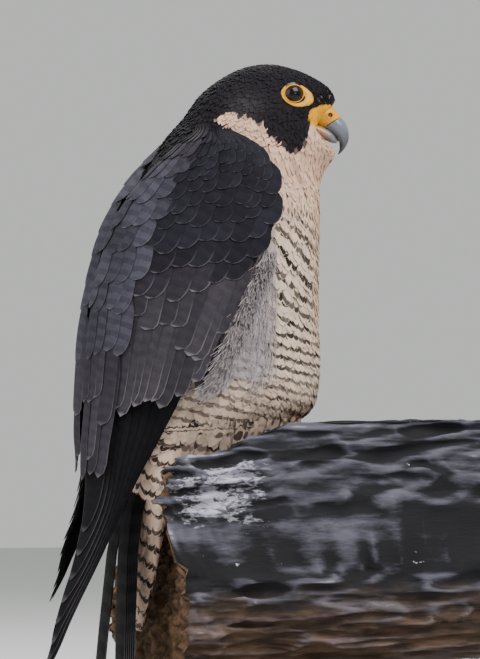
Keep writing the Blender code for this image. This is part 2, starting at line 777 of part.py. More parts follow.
def log_end(y, z):
    """Where the broken rear end lies across the log."""
    near = np.interp(z, *np.array(LOG_END_NEAR).T)
    middle = np.interp(z, *np.array(LOG_END_MIDDLE).T)
    share = np.clip((-y - 30) / (-LOG_NEAR - 30), 0, 1)
    ragged = 1.3 * np.sin(0.33 * z + 0.21 * y) + 0.9 * np.sin(0.52 * z - 0.13 * y + 1)
    return middle + (near - middle) * share - 4 * ease((y - 30) / 40) + ragged


def log_section(x, angle):
    """A boxy round across the log at each x, ridged along its length."""
    x, angle = np.broadcast_arrays(x, angle)
    c, s = np.cos(angle), np.sin(angle)
    y = (LOG_FAR + LOG_NEAR) / 2 + (LOG_FAR - LOG_NEAR) / 2 * np.sign(c) * np.abs(c) ** 0.55
    high = np.where(s > 0, log_top(x, y) - LOG_MIDDLE_Z, LOG_MIDDLE_Z - LOG_BOTTOM)
    z = LOG_MIDDLE_Z + high * np.sign(s) * np.abs(s) ** 0.42
    rough = (
        1.3 * np.sin(0.34 * z + 0.035 * x + 0.6)
        + 0.9 * np.sin(0.61 * z - 0.022 * x + 2.1)
        + 0.9 * np.sin(0.09 * x + 0.1 * y)
    )
    side = ease((np.abs(c) - 0.75) / 0.15)
    return np.stack([x, y - np.sign(c) * side * (1.5 - rough), z], -1)


def perch_log():
    """The log as rings from the middle of its broken end to its cut end."""
    columns = 32
    angle = (np.arange(columns) + 0.5) / columns * 2 * math.pi
    share = np.linspace(0, 1, 12)[1:, None]
    rim = log_section(np.full((1, columns), -70.0), angle[None])
    end = log_end(rim[..., 1], rim[..., 2])
    rings = log_section(end + (LOG_FRONT - end) * share, angle[None])
    middle = np.array([LOG_FRONT, 5.0, LOG_MIDDLE_Z])
    rear = []
    for scale in (0.15, 0.5, 0.85, 1.0):
        ring = middle + (log_section(end, angle[None])[0] - middle) * scale
        ring[:, 0] = log_end(ring[:, 1], ring[:, 2])
        rear.append(ring)
    front = []
    for scale, forward in ((0.97, 1.5), (0.6, 2.5)):
        ring = middle + (rings[-1] - middle) * scale
        ring[:, 0] = LOG_FRONT + forward
        front.append(ring)
    return tube("perch_log", np.concatenate([rear, rings, front]), WEATHERED_WOOD)


def stand_base():
    """A plate with round corners and softened edges, resting on the floor at the origin."""
    work = bmesh.new()
    bmesh.ops.create_cube(work, size=1)
    size = Vector((BASE_LENGTH, BASE_WIDTH, BASE_THICK)) * MM
    bmesh.ops.scale(work, vec=size, verts=work.verts)
    bmesh.ops.translate(work, vec=(0, 0, size.z / 2), verts=work.verts)
    upright = [e for e in work.edges if abs(e.verts[0].co.z - e.verts[1].co.z) > size.z / 2]
    bmesh.ops.bevel(
        work,
        geom=upright,
        offset=BASE_CORNER * MM,
        segments=6,
        profile=0.5,
        affect="EDGES",
    )
    rim = [e for e in work.edges if all(abs(v.co.z - size.z) < 1e-6 for v in e.verts)]
    bmesh.ops.bevel(
        work,
        geom=rim,
        offset=BASE_BEVEL * MM,
        segments=2,
        profile=0.5,
        affect="EDGES",
    )
    paint(new_object("stand_base", work), BASE_WOOD)


def stand_rods(log):
    """Short rods from the base up to the underside of the log."""
    low = -PERCH_TOP + BASE_THICK + GAP
    high = LOG_BOTTOM + ROD_SINK
    for label, along in ROD_PLACES:
        work = bmesh.new()
        bmesh.ops.create_cone(
            work,
            cap_ends=True,
            segments=20,
            radius1=ROD_RADIUS * MM,
            radius2=ROD_RADIUS * MM,
            depth=(high - low) * MM,
            matrix=Matrix.Translation(place((along, ROD_SIDE, (low + high) / 2))),
        )
        rod = new_object("stand_rod_" + label, work)
        cut_clear(rod, log)
        paint(rod, STEEL)


def thigh(side, torso):
    """The feathered part of a leg that shows below the body."""
    rows = smooth(THIGH, np.linspace(0, len(THIGH) - 1, 9))
    angle = np.linspace(0, 2 * math.pi, 14, endpoint=False)[None]
    x, y, z, long, wide = (rows[:, k : k + 1] for k in range(5))
    rings = np.stack(
        [x + long * np.cos(angle), side * y + wide * np.sin(angle), z + 0 * angle], -1
    )
    obj = tube(f"thigh_{SIDE_NAMES[side]}", rings)
    cut_clear(obj, torso)
    paint(obj, BREAST)
    return obj


def toe_path(side, direction, length):
    """A toe's centre line: up from the ball, along, and down to its tip."""
    angle = math.radians(direction) * side
    ahead = np.array([math.cos(angle), math.sin(angle), 0])
    ball_at = np.array([FOOT_X, side * FOOT_Y, 0])
    heights = np.interp(np.linspace(0, 1, 6), (0, 0.3, 1), (6.0, 6.2, 3.9))
    steps = np.linspace(0.0, length, 6)
    return ball_at + ahead * steps[:, None] + np.array([0, 0, 1.0]) * heights[:, None]


def foot(side, thigh_obj, torso):
    """The toes with the ball and shank, and each claw as a node of its own."""
    label = SIDE_NAMES[side]
    centre = np.array([FOOT_X, side * FOOT_Y, 6.2])
    pieces = [ball(f"foot_{label}", centre, 5.6, 6, 8)]
    knuckles = np.array([1.15, 0.92, 1.06, 0.9, 0.98, 0.80])
    for name, direction, length in TOES:
        path = toe_path(side, direction, length)
        radii = TOE_RADIUS * knuckles * (0.95 if length > 30 else 1.0)
        radii = np.minimum(radii, path[:, 2] - GAP)
        pieces.append(path_tube(f"toe_{name}", path, radii, 7))
    obj = joined(f"foot_{label}", pieces, YELLOW)
    for name, direction, length in TOES:
        claw(side, name, direction, length, obj)
    shank = path_tube(
        f"tarsus_{label}",
        [centre + (0, 0, 2.0), centre + (-1.0, side * 0.5, 12), centre + (-2.0, side, 24)],
        [3.7, 3.5, 3.6],
        8,
        YELLOW,
    )
    for other in (torso, thigh_obj, obj):
        cut_clear(shank, other)
    paint(shank, YELLOW)


def claw(side, toe, direction, length, foot_obj):
    """A hooked claw ahead of a toe, cut clear of the foot."""
    angle = math.radians(direction) * side
    ahead = np.array([math.cos(angle), math.sin(angle), 0])
    start = np.array([FOOT_X, side * FOOT_Y, 0]) + ahead * (length - 1.0)
    t = np.linspace(0, 1, 6)[:, None]
    up = 4.2 + 2.6 * np.sin(t * math.pi * 0.62) - 6.2 * t**2.2
    path = start + ahead * CLAW_LENGTH * t**0.9 + np.array([0, 0, 1.0]) * up
    radii = np.array([2.3, 2.2, 1.9, 1.45, 0.95, 0.3])
    name = f"claw_{SIDE_NAMES[side]}_{toe}"
    obj = path_tube(name, path, np.minimum(radii, path[:, 2] - 0.25), 6)
    cut_clear(obj, foot_obj)
    paint(obj, BLACK_HORN)


def head():
    """The head, with sockets for the eyes and a bare rim round each."""
    obj = body_part("head", HEAD_RING + RING_GAP, 24.0, 13, 24, HOOD)
    eyes = []
    for side in (-1, 1):
        centre, looks = eye_frame(side)
        eye = ball(f"eye_{SIDE_NAMES[side]}", centre, EYE_RADIUS, 12, 16, looks)
        paint(eye, DARK_EYE)
        eyes.append(eye)
    rims = [lid_ring(f"lid_{side}", side) for side in (-1, 1)]
    obj = joined("head", [obj] + rims, HOOD)
    for eye in eyes:
        cut_clear(obj, eye)
    paint(obj, HOOD)
    return obj


def bill(head_obj):
    """Cere, upper mandible and lower mandible, each its own node."""
    cere = profile_tube("cere", CERE, 7, 14, YELLOW)
    cut_clear(cere, head_obj)
    for side in (-1, 1):
        inner = head_point(NOSTRIL[0] - 0.4, side * (8.4 - NOSTRIL_DEPTH), NOSTRIL[1])
        outer = head_point(NOSTRIL[0] + 0.4, side * 12.0, NOSTRIL[1])
        hole = path_tube(f"nostril_{side}", [inner, (inner + outer) / 2, outer], [NOSTRIL_RADIUS] * 3, 8)
        cut_with(cere, hole)
    paint(cere, YELLOW)
    upper = profile_tube("bill_upper", BILL_UPPER, 12, 14, HORN)
    cut_clear(upper, cere)
    paint(upper, HORN)
    lower = profile_tube("bill_lower", BILL_LOWER, 7, 12, HORN)
    for other in (head_obj, cere, upper):
        cut_clear(lower, other)
    paint(lower, HORN)


def main():
    for old in list(bpy.data.objects):
        bpy.data.objects.remove(old)
    stand_base()
    log = perch_log()
    stand_rods(log)
    torso = body_part("torso", TAIL_RING + RING_GAP, NECK_RING - RING_GAP, 16, 24, BREAST)
    neck = body_part("neck", NECK_RING + RING_GAP, HEAD_RING - RING_GAP, 5, 24, HOOD)
    bill(head())
    tail(torso)
    for side in (-1, 1):
        wing(side, torso, neck)
        thigh_obj = thigh(side, torso)
        foot(side, thigh_obj, torso)


main()
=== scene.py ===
"""Plumage, bare parts, weathered log and stand of a perched peregrine falcon, laid over its solids.

Tables are in millimetres in the bird's own frame: it looks along +X, its left side is at +Y, and
heights start at the point on the log between its feet. place() turns them into the model's metres.
"""

import math

import bpy
import numpy as np
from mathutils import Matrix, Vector
from mathutils.kdtree import KDTree


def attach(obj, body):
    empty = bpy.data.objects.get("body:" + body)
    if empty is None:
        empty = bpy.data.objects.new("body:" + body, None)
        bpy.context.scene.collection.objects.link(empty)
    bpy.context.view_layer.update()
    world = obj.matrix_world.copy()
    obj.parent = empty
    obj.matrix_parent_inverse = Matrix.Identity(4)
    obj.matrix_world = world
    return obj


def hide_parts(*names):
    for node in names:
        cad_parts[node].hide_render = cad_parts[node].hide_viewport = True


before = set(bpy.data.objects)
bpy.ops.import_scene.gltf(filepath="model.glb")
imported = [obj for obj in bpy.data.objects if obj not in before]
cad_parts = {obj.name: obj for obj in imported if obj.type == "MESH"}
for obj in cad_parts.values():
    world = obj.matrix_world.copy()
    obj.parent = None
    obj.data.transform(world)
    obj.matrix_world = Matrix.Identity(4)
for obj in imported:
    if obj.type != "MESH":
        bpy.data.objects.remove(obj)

bl_info = {
    "name": "Perched peregrine falcon",
    "version": (1, 0, 0),
    "blender": (4, 5, 0),
    "location": "3D View > Sidebar > Falcon",
    "description": "Builds the plumage, bare parts, log and stand of a perched peregrine falcon",
    "category": "Object",
}

MM = 0.001
TURN = 2 * math.pi
BIRD_X = -25.0
PERCH_TOP = 180.0
SIDE_NAMES = {-1: "right", 1: "left"}

HEAD_TURN = math.radians(-22.0)
HEAD_TURN_RINGS = (13.0, 18.0)
VIEW_AZIMUTH = -22.0
VIEW_RISE = -1.5
VIEW_AIM = (3.1, 80.9)
VIEW_HEIGHT = 408.58
FLOOR_REACH = 4.0
LIGHT_AIM = 90.0
# Lights: azimuth from the camera's and rise in degrees, distance and width in metres.
LIGHTS = (
    ("key", 38, 48, 1.5, 1.1),
    ("fill", -62, 18, 1.6, 1.4),
    ("rim", 190, 52, 1.5, 1.0),
)

# Body rings from the tail coverts up to the bill: back x, back z, front x, front z, half width.
BODY = (
    (-65.0, -104.0, -61.5, -105.0, 2.0),
    (-66.5, -85.0, -59.0, -86.0, 15.0),
    (-67.0, -58.0, -55.0, -60.0, 23.0),
    (-68.5, -32.0, -49.5, -34.0, 27.0),
    (-71.0, -8.0, -41.5, -9.0, 30.0),
    (-71.0, 10.0, -22.0, 7.0, 34.0),
    (-71.0, 26.0, 8.0, 15.0, 39.0),
    (-72.0, 40.0, 32.0, 21.0, 44.0),
    (-74.0, 54.0, 49.5, 32.0, 47.0),
    (-78.0, 70.0, 54.0, 55.0, 49.0),
    (-82.0, 92.0, 53.0, 84.0, 51.0),
    (-83.0, 115.0, 53.0, 112.0, 52.0),
    (-79.0, 140.0, 53.5, 138.0, 51.0),
    (-68.5, 160.0, 54.0, 158.0, 47.0),
    (-56.5, 178.0, 54.0, 170.0, 42.0),
    (-44.5, 198.0, 57.0, 180.0, 37.0),
    (-33.0, 211.0, 61.0, 186.0, 33.0),
    (-22.0, 226.0, 62.0, 190.0, 29.0),
    (-8.0, 237.0, 60.5, 193.0, 26.5),
    (6.0, 243.5, 58.0, 195.5, 25.0),
    (22.0, 245.5, 55.5, 197.5, 24.0),
    (38.0, 242.0, 53.0, 199.5, 22.0),
    (50.0, 236.5, 51.5, 201.5, 18.5),
    (58.5, 230.5, 50.5, 203.0, 13.5),
    (63.0, 223.0, 50.0, 205.0, 8.5),
)
BODY_END = len(BODY) - 1.0

# Wing shell: height, front edge x and y, back edge x and y, with y as the distance to the side.
WING = (
    (-130.0, -124.5, 27.5, -143.5, 10.0),
    (-110.0, -114.0, 28.0, -136.0, 10.0),
    (-90.0, -106.0, 28.5, -129.5, 11.0),
    (-58.0, -93.0, 32.0, -117.0, 9.0),
    (-25.0, -79.0, 38.0, -107.5, 7.0),
    (10.0, -61.0, 45.0, -105.5, 5.5),
    (37.0, -46.0, 51.0, -103.0, 5.0),
    (60.0, -37.0, 55.0, -101.0, 5.0),
    (85.0, -26.0, 59.0, -99.0, 5.0),
    (110.0, -14.5, 60.5, -94.5, 5.0),
    (134.0, -2.0, 60.5, -88.5, 6.0),
    (148.0, 4.5, 59.5, -82.5, 7.0),
    (164.0, 7.0, 58.0, -73.0, 9.0),
    (180.0, 5.0, 55.0, -60.0, 12.0),
    (194.0, -3.0, 48.0, -45.5, 15.0),
    (204.0, -16.0, 35.0, -34.0, 17.0),
)
WING_TOP = 203.0
WING_TIP = -130.0
WING_LENGTH = 340.0
WING_CLEAR_OF_BODY = 5.5
LEFT_TIP_SHIFT = (23.0, 26.0, 43.0)
LEFT_SHIFT_FROM = 60.0

# Depth of the coat over the skin, its feathers' spacing, length and width, at rings of the body.
COAT = (
    (0.0, 2.4, 5.2, 22.0, 9.5),
    (4.5, 2.4, 4.8, 19.0, 9.0),
    (7.0, 2.4, 4.0, 15.0, 8.0),
    (12.5, 2.4, 3.7, 13.0, 7.4),
    (14.5, 2.0, 2.7, 10.5, 5.4),
    (16.0, 1.7, 2.2, 8.5, 4.4),
    (18.0, 1.3, 1.75, 6.4, 3.2),
    (21.0, 1.1, 1.5, 5.0, 2.6),
    (24.0, 0.8, 1.2, 3.0, 1.7),
)

# Outline of the pale cheek, throat and underside against the dark hood, seen from the side.
PALE_EDGE = (
    (47.7, 210.2),
    (47.1, 205.8),
    (43.4, 200.3),
    (39.7, 194.1),
    (36.0, 194.7),
    (27.9, 199.6),
    (20.5, 208.9),
    (12.4, 213.9),
    (1.9, 218.2),
    (-6.8, 218.2),
    (-8.7, 214.5),
    (-3.7, 206.5),
    (-1.9, 203.4),
    (-10.5, 192.2),
    (-21.7, 161.2),
    (-27.9, 99.2),
    (-27.9, -148.8),
    (114.7, -148.8),
    (114.7, 210.2),
)

BAR_SPACING = 6.2
TAIL_BAR_SPACING = 11.5
WING_BAR_SPACING = 7.2
TAIL_VANE_BARS = 11

# Rows and columns of points on the upper sheet of each kind of feather.
HEAD_VANE = (5, 3)
BODY_VANE = (6, 5)
STRAND = (6, 3)
WING_VANE = (12, 7)
PRIMARY_VANE = (24, 9)
TAIL_VANE = (20, 7)
SKIN_VOXEL = 0.0015

EYE_RADIUS = 7.6
EYE_CENTRE = (35.2, 17.8, 225.6)
EYE_LOOKS = (0.24, 0.97, -0.02)
EYE_OPENING = (5.7, 4.9)
LID = 0.38
# Outline of the bare skin round the eye: direction in degrees up from straight ahead, reach.
BARE_REACH = (
    (-180, 6.9),
    (-135, 6.3),
    (-100, 6.7),
    (-66, 8.2),
    (-45, 10.2),
    (-28, 12.2),
    (-16, 12.6),
    (0, 11.2),
    (15, 9.0),
    (32, 7.2),
    (60, 5.7),
    (90, 5.4),
    (135, 5.9),
    (180, 6.9),
)

# Outline of the bare skin behind the cere, seen from the side.
GAPE = (
    (45.6, 212.4),
    (48.4, 216.4),
    (52.1, 218.0),
    (56.4, 219.3),
    (62, 219),
    (60, 200),
    (52, 204),
    (47.2, 207.4),
)

# Bill rings in the head's own frame: upper x and z, lower x and z, half width.
CERE = (
    (55.0, 221.0, 46.0, 210.6, 8.2),
    (59.0, 219.6, 48.0, 209.2, 8.6),
    (62.8, 217.0, 51.0, 207.6, 8.2),
    (65.6, 213.0, 54.6, 205.8, 7.2),
)
BILL_UPPER = (
    (66.0, 212.4, 55.2, 205.6, 7.0),
    (69.0, 208.4, 58.6, 203.6, 6.4),
    (70.6, 203.6, 61.6, 201.3, 5.4),
    (70.6, 198.8, 63.6, 198.6, 4.2),
    (69.0, 194.8, 64.7, 195.9, 2.8),
    (66.6, 191.4, 64.8, 192.8, 1.5),
    (64.2, 189.5, 63.9, 190.1, 0.5),
)
BILL_LOWER = (
    (45.0, 210.4, 46.5, 203.6, 7.8),
    (51.0, 208.6, 51.6, 200.9, 7.1),
    (56.2, 206.4, 56.4, 198.4, 6.0),
    (60.6, 203.4, 60.4, 196.6, 4.6),
    (63.2, 199.6, 63.2, 196.4, 2.2),
)
NOSTRIL = (59.0, 213.4)

# Thigh rings: x, y to the side, z, half length, half width.
THIGH = (
    (2.0, 24.0, 66.0, 15.0, 13.0),
    (2.0, 28.0, 54.0, 20.0, 17.0),
    (2.0, 30.0, 42.0, 23.0, 18.0),
    (3.0, 29.0, 33.0, 21.0, 16.5),
    (4.0, 27.5, 25.0, 16.5, 13.0),
    (5.0, 26.0, 17.5, 11.0, 9.0),
)
FOOT_X = 6.0
FOOT_Y = 25.0
TOE_RADIUS = 4.0
TOES = (("middle", 2.0, 43.0), ("inner", -30.0, 32.0), ("outer", 27.0, 35.0), ("hind", 176.0, 20.0))
CLAW_LENGTH = 14.0

LOG_NEAR = -64.0
LOG_FAR = 74.0
LOG_BOTTOM = -126.0
LOG_MIDDLE_Z = -50.0
LOG_FRONT = 156.0
LOG_RIM = (
    (-78, -2),
    (-70, 0),
    (-38, 3),
    (-10, 14.3),
    (12, 22.3),
    (41, 23),
    (74, 23.6),
    (139, 24.8),
)
LOG_WALL_GAIN = 1.24
LOG_WALL_RISE = 12.0
LOG_END_NEAR = ((-126, -53), (-95, -56), (-66, -60), (-45, -69), (-23, -78), (0, -76))
LOG_END_MIDDLE = ((-126, -55), (-90, -53), (-60, -47), (-34, -40), (-10, -32), (0, -26))

# Rows of wing feathers from the top down: feathers, place across the wing of the first and last,
# root height, tip heights from front to back, width as a share of the spacing.
COVERT_ROWS = (
    (9, 0.04, 0.62, 204.0, (195.0, 194.0, 192.0), 1.6),
    (9, 0.04, 0.62, 200.0, (188.0, 188.0, 184.0), 1.6),
    (9, 0.04, 0.62, 195.0, (180.0, 181.0, 176.0), 1.6),
    (9, 0.04, 0.62, 190.0, (172.0, 174.0, 168.0), 1.6),
    (8, 0.04, 0.62, 184.0, (164.0, 165.0, 159.0), 1.6),
    (8, 0.04, 0.62, 176.0, (156.0, 155.0, 149.0), 1.6),
    (7, 0.05, 0.62, 168.0, (146.0, 143.0, 138.0), 1.6),
    (7, 0.05, 0.62, 158.0, (136.0, 130.0, 126.0), 1.6),
    (6, 0.06, 0.60, 148.0, (124.0, 116.0, 112.0), 1.6),
    (6, 0.07, 0.60, 136.0, (110.0, 100.0, 97.0), 1.6),
    (8, 0.06, 0.61, 124.0, (72.0, 62.0, 72.0, 82.0, 82.0, 84.0), 1.7),
    (10, 0.05, 0.61, 106.0, (52.0, 40.0, 36.0, 38.0, 33.0, 26.0, 23.0), 1.7),
)
SCAPULAR_ROWS = (
    (5, 0.62, 1.04, 206.0, (196.0, 194.0), 1.6),
    (5, 0.62, 1.04, 200.0, (186.0, 183.0), 1.6),
    (5, 0.62, 1.04, 191.0, (174.0, 171.0), 1.6),
    (4, 0.63, 1.04, 181.0, (160.0, 157.0), 1.6),
    (4, 0.63, 1.04, 168.0, (144.0, 142.0), 1.6),
    (4, 0.63, 1.04, 154.0, (127.0, 126.0), 1.6),
    (4, 0.63, 1.04, 139.0, (109.0, 109.0), 1.6),
    (4, 0.64, 1.03, 123.0, (88.0, 92.0), 1.6),
    (4, 0.65, 1.02, 106.0, (62.0, 64.0), 1.6),
    (4, 0.66, 1.01, 88.0, (24.0, 34.0, 30.0), 1.6),
    (4, 0.66, 0.99, 72.0, (-17.0, -16.0, -5.0, -2.0), 1.7),
)
PRIMARY_TIPS = (-42.0, -56.0, -70.0, -84.0, -97.0, -109.0, -119.0, -130.0, -126.0)
PRIMARY_WIDTH = 25.0
PRIMARY_ROOTS = (0.84, 0.10)
PRIMARY_TIP_PLACES = (0.76, 0.56)

TAIL_HALVES = {-1: (5.0, 23.5), 1: (5.0, 16.5)}
TAIL_VANES = 6
TAIL_WIDTH = 17.0
TAIL_ROOT_Z = -14.0
TAIL_TIP_Z = -148.0
TAIL_BACK = ((-149.0, -82.0), (-123.0, -80.0), (-56.0, -75.0), (-34.0, -71.0), (-14.0, -63.5))


def colour(name, description, value):
    """A colour that a user may change."""
    return bpy.props.FloatVectorProperty(
        name=name, description=description, default=value, subtype="COLOR", size=3, min=0, max=1
    )


def size(name, description, value):
    """A size in metres that a user may change."""
    return bpy.props.FloatProperty(
        name=name, description=description, default=value, unit="LENGTH", precision=4, min=0
    )


def number(name, description, value):
    """A plain number that a user may change."""
    return bpy.props.FloatProperty(name=name, description=description, default=value, min=0)


class PlumageColours(bpy.types.PropertyGroup):
    """Colours of the feathers."""

    hood: colour("Hood", "Crown, nape and moustache", (0.0095, 0.0080, 0.0105))
    ear: colour("Ear coverts", "Greyer feathers behind the eye", (0.036, 0.031, 0.036))
    throat: colour("Throat", "Cheek, throat and upper breast", (0.55, 0.35, 0.255))
    breast: colour("Breast", "Lower breast and belly", (0.56, 0.43, 0.34))
    front: colour("Breast front", "Warm front edge of the breast", (0.56, 0.34, 0.20))
    flank: colour("Flank", "Loose feathers on the flanks and thighs", (0.300, 0.262, 0.272))
    under_tail: colour("Under the tail", "Coverts under the tail", (0.60, 0.43, 0.34))
    bars: colour("Bars", "Spots and bars of the underside", (0.007, 0.005, 0.005))
    back: colour("Back", "Mantle between the wings", (0.026, 0.023, 0.028))
    covert: colour("Coverts", "Small feathers of the wing", (0.0110, 0.0100, 0.0155))
    scapular: colour("Scapulars", "Feathers of the shoulder", (0.046, 0.043, 0.060))
    secondary: colour("Secondaries", "Long inner feathers of the wing", (0.034, 0.029, 0.036))
    primary: colour("Primaries", "Longest feathers of the wing", (0.0065, 0.0058, 0.0075))
    tail: colour("Tail", "Long feathers of the tail", (0.011, 0.0095, 0.011))
    fringe: colour("Fringes", "Worn edges of the dark feathers", (0.150, 0.135, 0.145))


class BareColours(bpy.types.PropertyGroup):
    """Colours of the eyes, bill, feet and bare skin."""

    yellow: colour("Bare skin", "Cere, eye ring and feet", (0.66, 0.30, 0.005))
    # Dark red of the nostril: its lining, darkened as painted shade of the hole.
    nostril: colour("Nostril", "Inside of the nostril", (0.16, 0.03, 0.01))
    horn: colour("Bill", "Blue-grey horn of the bill", (0.13, 0.14, 0.17))
    black: colour("Black horn", "Tip of the bill and the claws", (0.012, 0.012, 0.014))
    iris: colour("Iris", "Dark brown of the eye", (0.020, 0.009, 0.004))


class CoatSizes(bpy.types.PropertyGroup):
    """Sizes of the coat."""

    thick: size("Vane thickness", "Thickness of a feather at its middle", 0.00035)
    step: size("Row step", "Height of a row of wing feathers over the next", 0.0007)


class StandColours(bpy.types.PropertyGroup):
    """Colours of the log, the base and the stage."""

    wood: colour("Weathered wood", "Dark grey surface of the log", (0.050, 0.048, 0.062))
    broken: colour("Broken wood", "Brown inside of the log", (0.115, 0.065, 0.035))
    pale: colour("Pale patches", "Splashes on the log", (0.52, 0.49, 0.58))
    base: colour("Base", "Dark wood of the base", (0.075, 0.036, 0.018))
    floor: colour("Floor", "Plain pale floor", (0.62, 0.63, 0.62))


class StageSizes(bpy.types.PropertyGroup):
    """Camera and lights."""

    distance: size("Camera distance", "From the camera to the object", 2.4)
    key: number("Key light", "Power of the large front light in watts", 38.0)
    fill: number("Fill light", "Power of the light from the other side in watts", 14.0)
    rim: number("Back light", "Power of the light from behind in watts", 16.0)


def smooth(rows, t):
    """Values on the Catmull-Rom curve through rows, where t counts rows from 0."""
    rows = np.asarray(rows, float)
    t = np.clip(np.asarray(t, float), 0, len(rows) - 1)
    i = np.minimum(t.astype(int), len(rows) - 2)
    f = (t - i)[..., None]
    before, here = rows[np.maximum(i - 1, 0)], rows[i]
    after, last = rows[i + 1], rows[np.minimum(i + 2, len(rows) - 1)]
    return 0.5 * (
        2 * here
        + (after - before) * f
        + (2 * before - 5 * here + 4 * after - last) * f**2
        + (3 * here - before - 3 * after + last) * f**3
    )


def along_table(table, t):
    """A smooth curve through a table of (place, value), read at the places t."""
    table = np.array(table, float)
    return smooth(table[:, 1:], np.interp(t, table[:, 0], np.arange(len(table))))[..., 0]


def ease(t):
    """0 below 0, 1 above 1 and a smooth S between."""
    t = np.clip(t, 0, 1)
    return t * t * (3 - 2 * t)


def unit(v):
    """Vectors brought to length 1."""
    return v / np.maximum(np.linalg.norm(v, axis=-1, keepdims=True), 1e-9)


def turned(points, angle):
    """Points turned about the vertical axis through the bird's origin."""
    c, s = np.cos(angle), np.sin(angle)
    x, y, z = points[..., 0], points[..., 1], points[..., 2]
    return np.stack([x * c - y * s, x * s + y * c, z + 0 * x], -1)


def place(points):
    """Bird-frame millimetres to model-frame metres."""
    return (np.asarray(points, float) + (BIRD_X, 0, PERCH_TOP)) * MM


def ripple(points, scale, seed, waves=14):
    """Soft random relief between about -1 and 1: a mean of sine waves in random directions."""
    chance = np.random.default_rng(seed)
    ways = unit(chance.normal(size=(waves, 3))) * chance.uniform(0.6, 1.6, (waves, 1))
    phase = chance.uniform(0, TURN, waves)
    return np.sin(points @ ways.T * (TURN / scale) + phase).sum(-1) / math.sqrt(waves)


def body_surface(s, v):
    """The body: an ellipse at ring place s between back and front lines, v turning round it.

    v is 0 at the left side, a quarter turn at the back and three quarters at the front, and the
    rings of the neck and head are turned about the vertical.
    """
    s, v = np.broadcast_arrays(np.asarray(s, float), np.asarray(v, float))
    row = smooth(BODY, s)
    back, front, width = row[..., 0:2], row[..., 2:4], row[..., 4]
    middle, reach = (back + front) / 2, (back - front) / 2
    points = np.stack(
        [
            middle[..., 0] + reach[..., 0] * np.sin(v),
            width * np.cos(v),
            middle[..., 1] + reach[..., 1] * np.sin(v),
        ],
        -1,
    )
    low, high = HEAD_TURN_RINGS
    return turned(points, HEAD_TURN * ease((s - low) / (high - low)))


def body_reach(points, clear):
    """Pushes points out of the torso's level ellipses by a clearance."""
    rows = np.array(BODY[8:18])
    z = points[..., 2]
    level = (rows[:, 1] + rows[:, 3]) / 2
    back, front, width = (np.interp(z, level, rows[:, k]) for k in (0, 2, 4))
    centre, half = (front + back) / 2, (front - back) / 2 + clear
    width = width + clear
    x, y = points[..., 0] - centre, points[..., 1]
    inside = np.sqrt((x / half) ** 2 + (y / width) ** 2)
    scale = np.where((z > 30) & (inside < 1), 1 / np.maximum(inside, 0.2), 1)
    return np.stack([centre + x * scale, y * scale, z], -1)


def wing_surface(side):
    """The folded wing's shell as a function of a, 0 at the front edge to 1 at the back, and z.

    x runs from the front to the back edge as the sine of a quarter turn times a, and y as its
    cosine, pushed clear of the body; the left wing's tip is moved out and up.
    """
    heights = np.array(WING)[:, 0]

    def surface(a, z):
        a, z = np.broadcast_arrays(np.asarray(a, float), np.asarray(z, float))
        row = smooth(WING, np.interp(z, heights, np.arange(len(heights))))
        fx, fy, bx, by = (row[..., k] for k in range(1, 5))
        x = fx + (bx - fx) * np.sin(a * math.pi / 2)
        y = by + (fy - by) * np.cos(a * math.pi / 2)
        points = body_reach(np.stack([x, side * y, z], -1), WING_CLEAR_OF_BODY)
        if side > 0:
            share = ease((LEFT_SHIFT_FROM - z) / (LEFT_SHIFT_FROM - WING_TIP))
            points = points + share[..., None] * np.array(LEFT_TIP_SHIFT)
        return points

    return surface


def thigh_surface(side):
    """The feathered leg as upright rings: t counts rings down, v turns round each."""

    def surface(t, v):
        t, v = np.broadcast_arrays(np.asarray(t, float), np.asarray(v, float))
        x, y, z, long, wide = np.moveaxis(smooth(THIGH, t), -1, 0)
        return np.stack([x + long * np.cos(v), side * y + wide * np.sin(v), z], -1)

    return surface


def vent_surface(side):
    """A hanging sheet beside the foot: y bows out a little with height over x and z."""

    def surface(x, z):
        x, z = np.broadcast_arrays(np.asarray(x, float), np.asarray(z, float))
        out = 37 + 0.22 * (z - 10) - 0.0035 * (x + 5) ** 2
        return np.stack([x - 0.25 * (20 - z), side * out, z], -1)

    return surface


def tail_surface(y, z):
    """A sheet behind the tail coverts: x falls back along a curve of z, the same for every y."""
    y, z = np.broadcast_arrays(np.asarray(y, float), np.asarray(z, float))
    return np.stack([along_table(TAIL_BACK, z), y, z], -1)


def slopes(surface, u, v, steps, sign):
    """Steps along a surface for a unit of u and of v, and its outward normal."""
    du, dv = steps
    by_u = (surface(u + du, v) - surface(u - du, v)) / (2 * du)
    by_v = (surface(u, v + dv) - surface(u, v - dv)) / (2 * dv)
    return by_u, by_v, unit(np.cross(by_u, by_v)) * sign


def to_places(direction, by_u, by_v):
    """The steps in u and v that move along a direction in the surface by one millimetre."""
    uu, uv, vv = (np.sum(p * q, -1) for p, q in ((by_u, by_u), (by_u, by_v), (by_v, by_v)))
    du, dv = np.sum(direction * by_u, -1), np.sum(direction * by_v, -1)
    scale = np.maximum(uu * vv - uv * uv, 1e-9)
    return (du * vv - dv * uv) / scale, (dv * uu - du * uv) / scale


class Skin:
    """A surface of two parameters with the steps for its slopes and the side that faces out."""

    def __init__(self, surface, steps, sign):
        self.surface, self.steps, self.sign = surface, steps, sign

    def slopes(self, u, v):
        """Steps along u and v, and the normal."""
        return slopes(self.surface, u, v, self.steps, self.sign)

    def lifted(self, u, v, height):
        """Points at a height over the surface."""
        return self.surface(u, v) + self.slopes(u, v)[2] * np.asarray(height)[..., None]


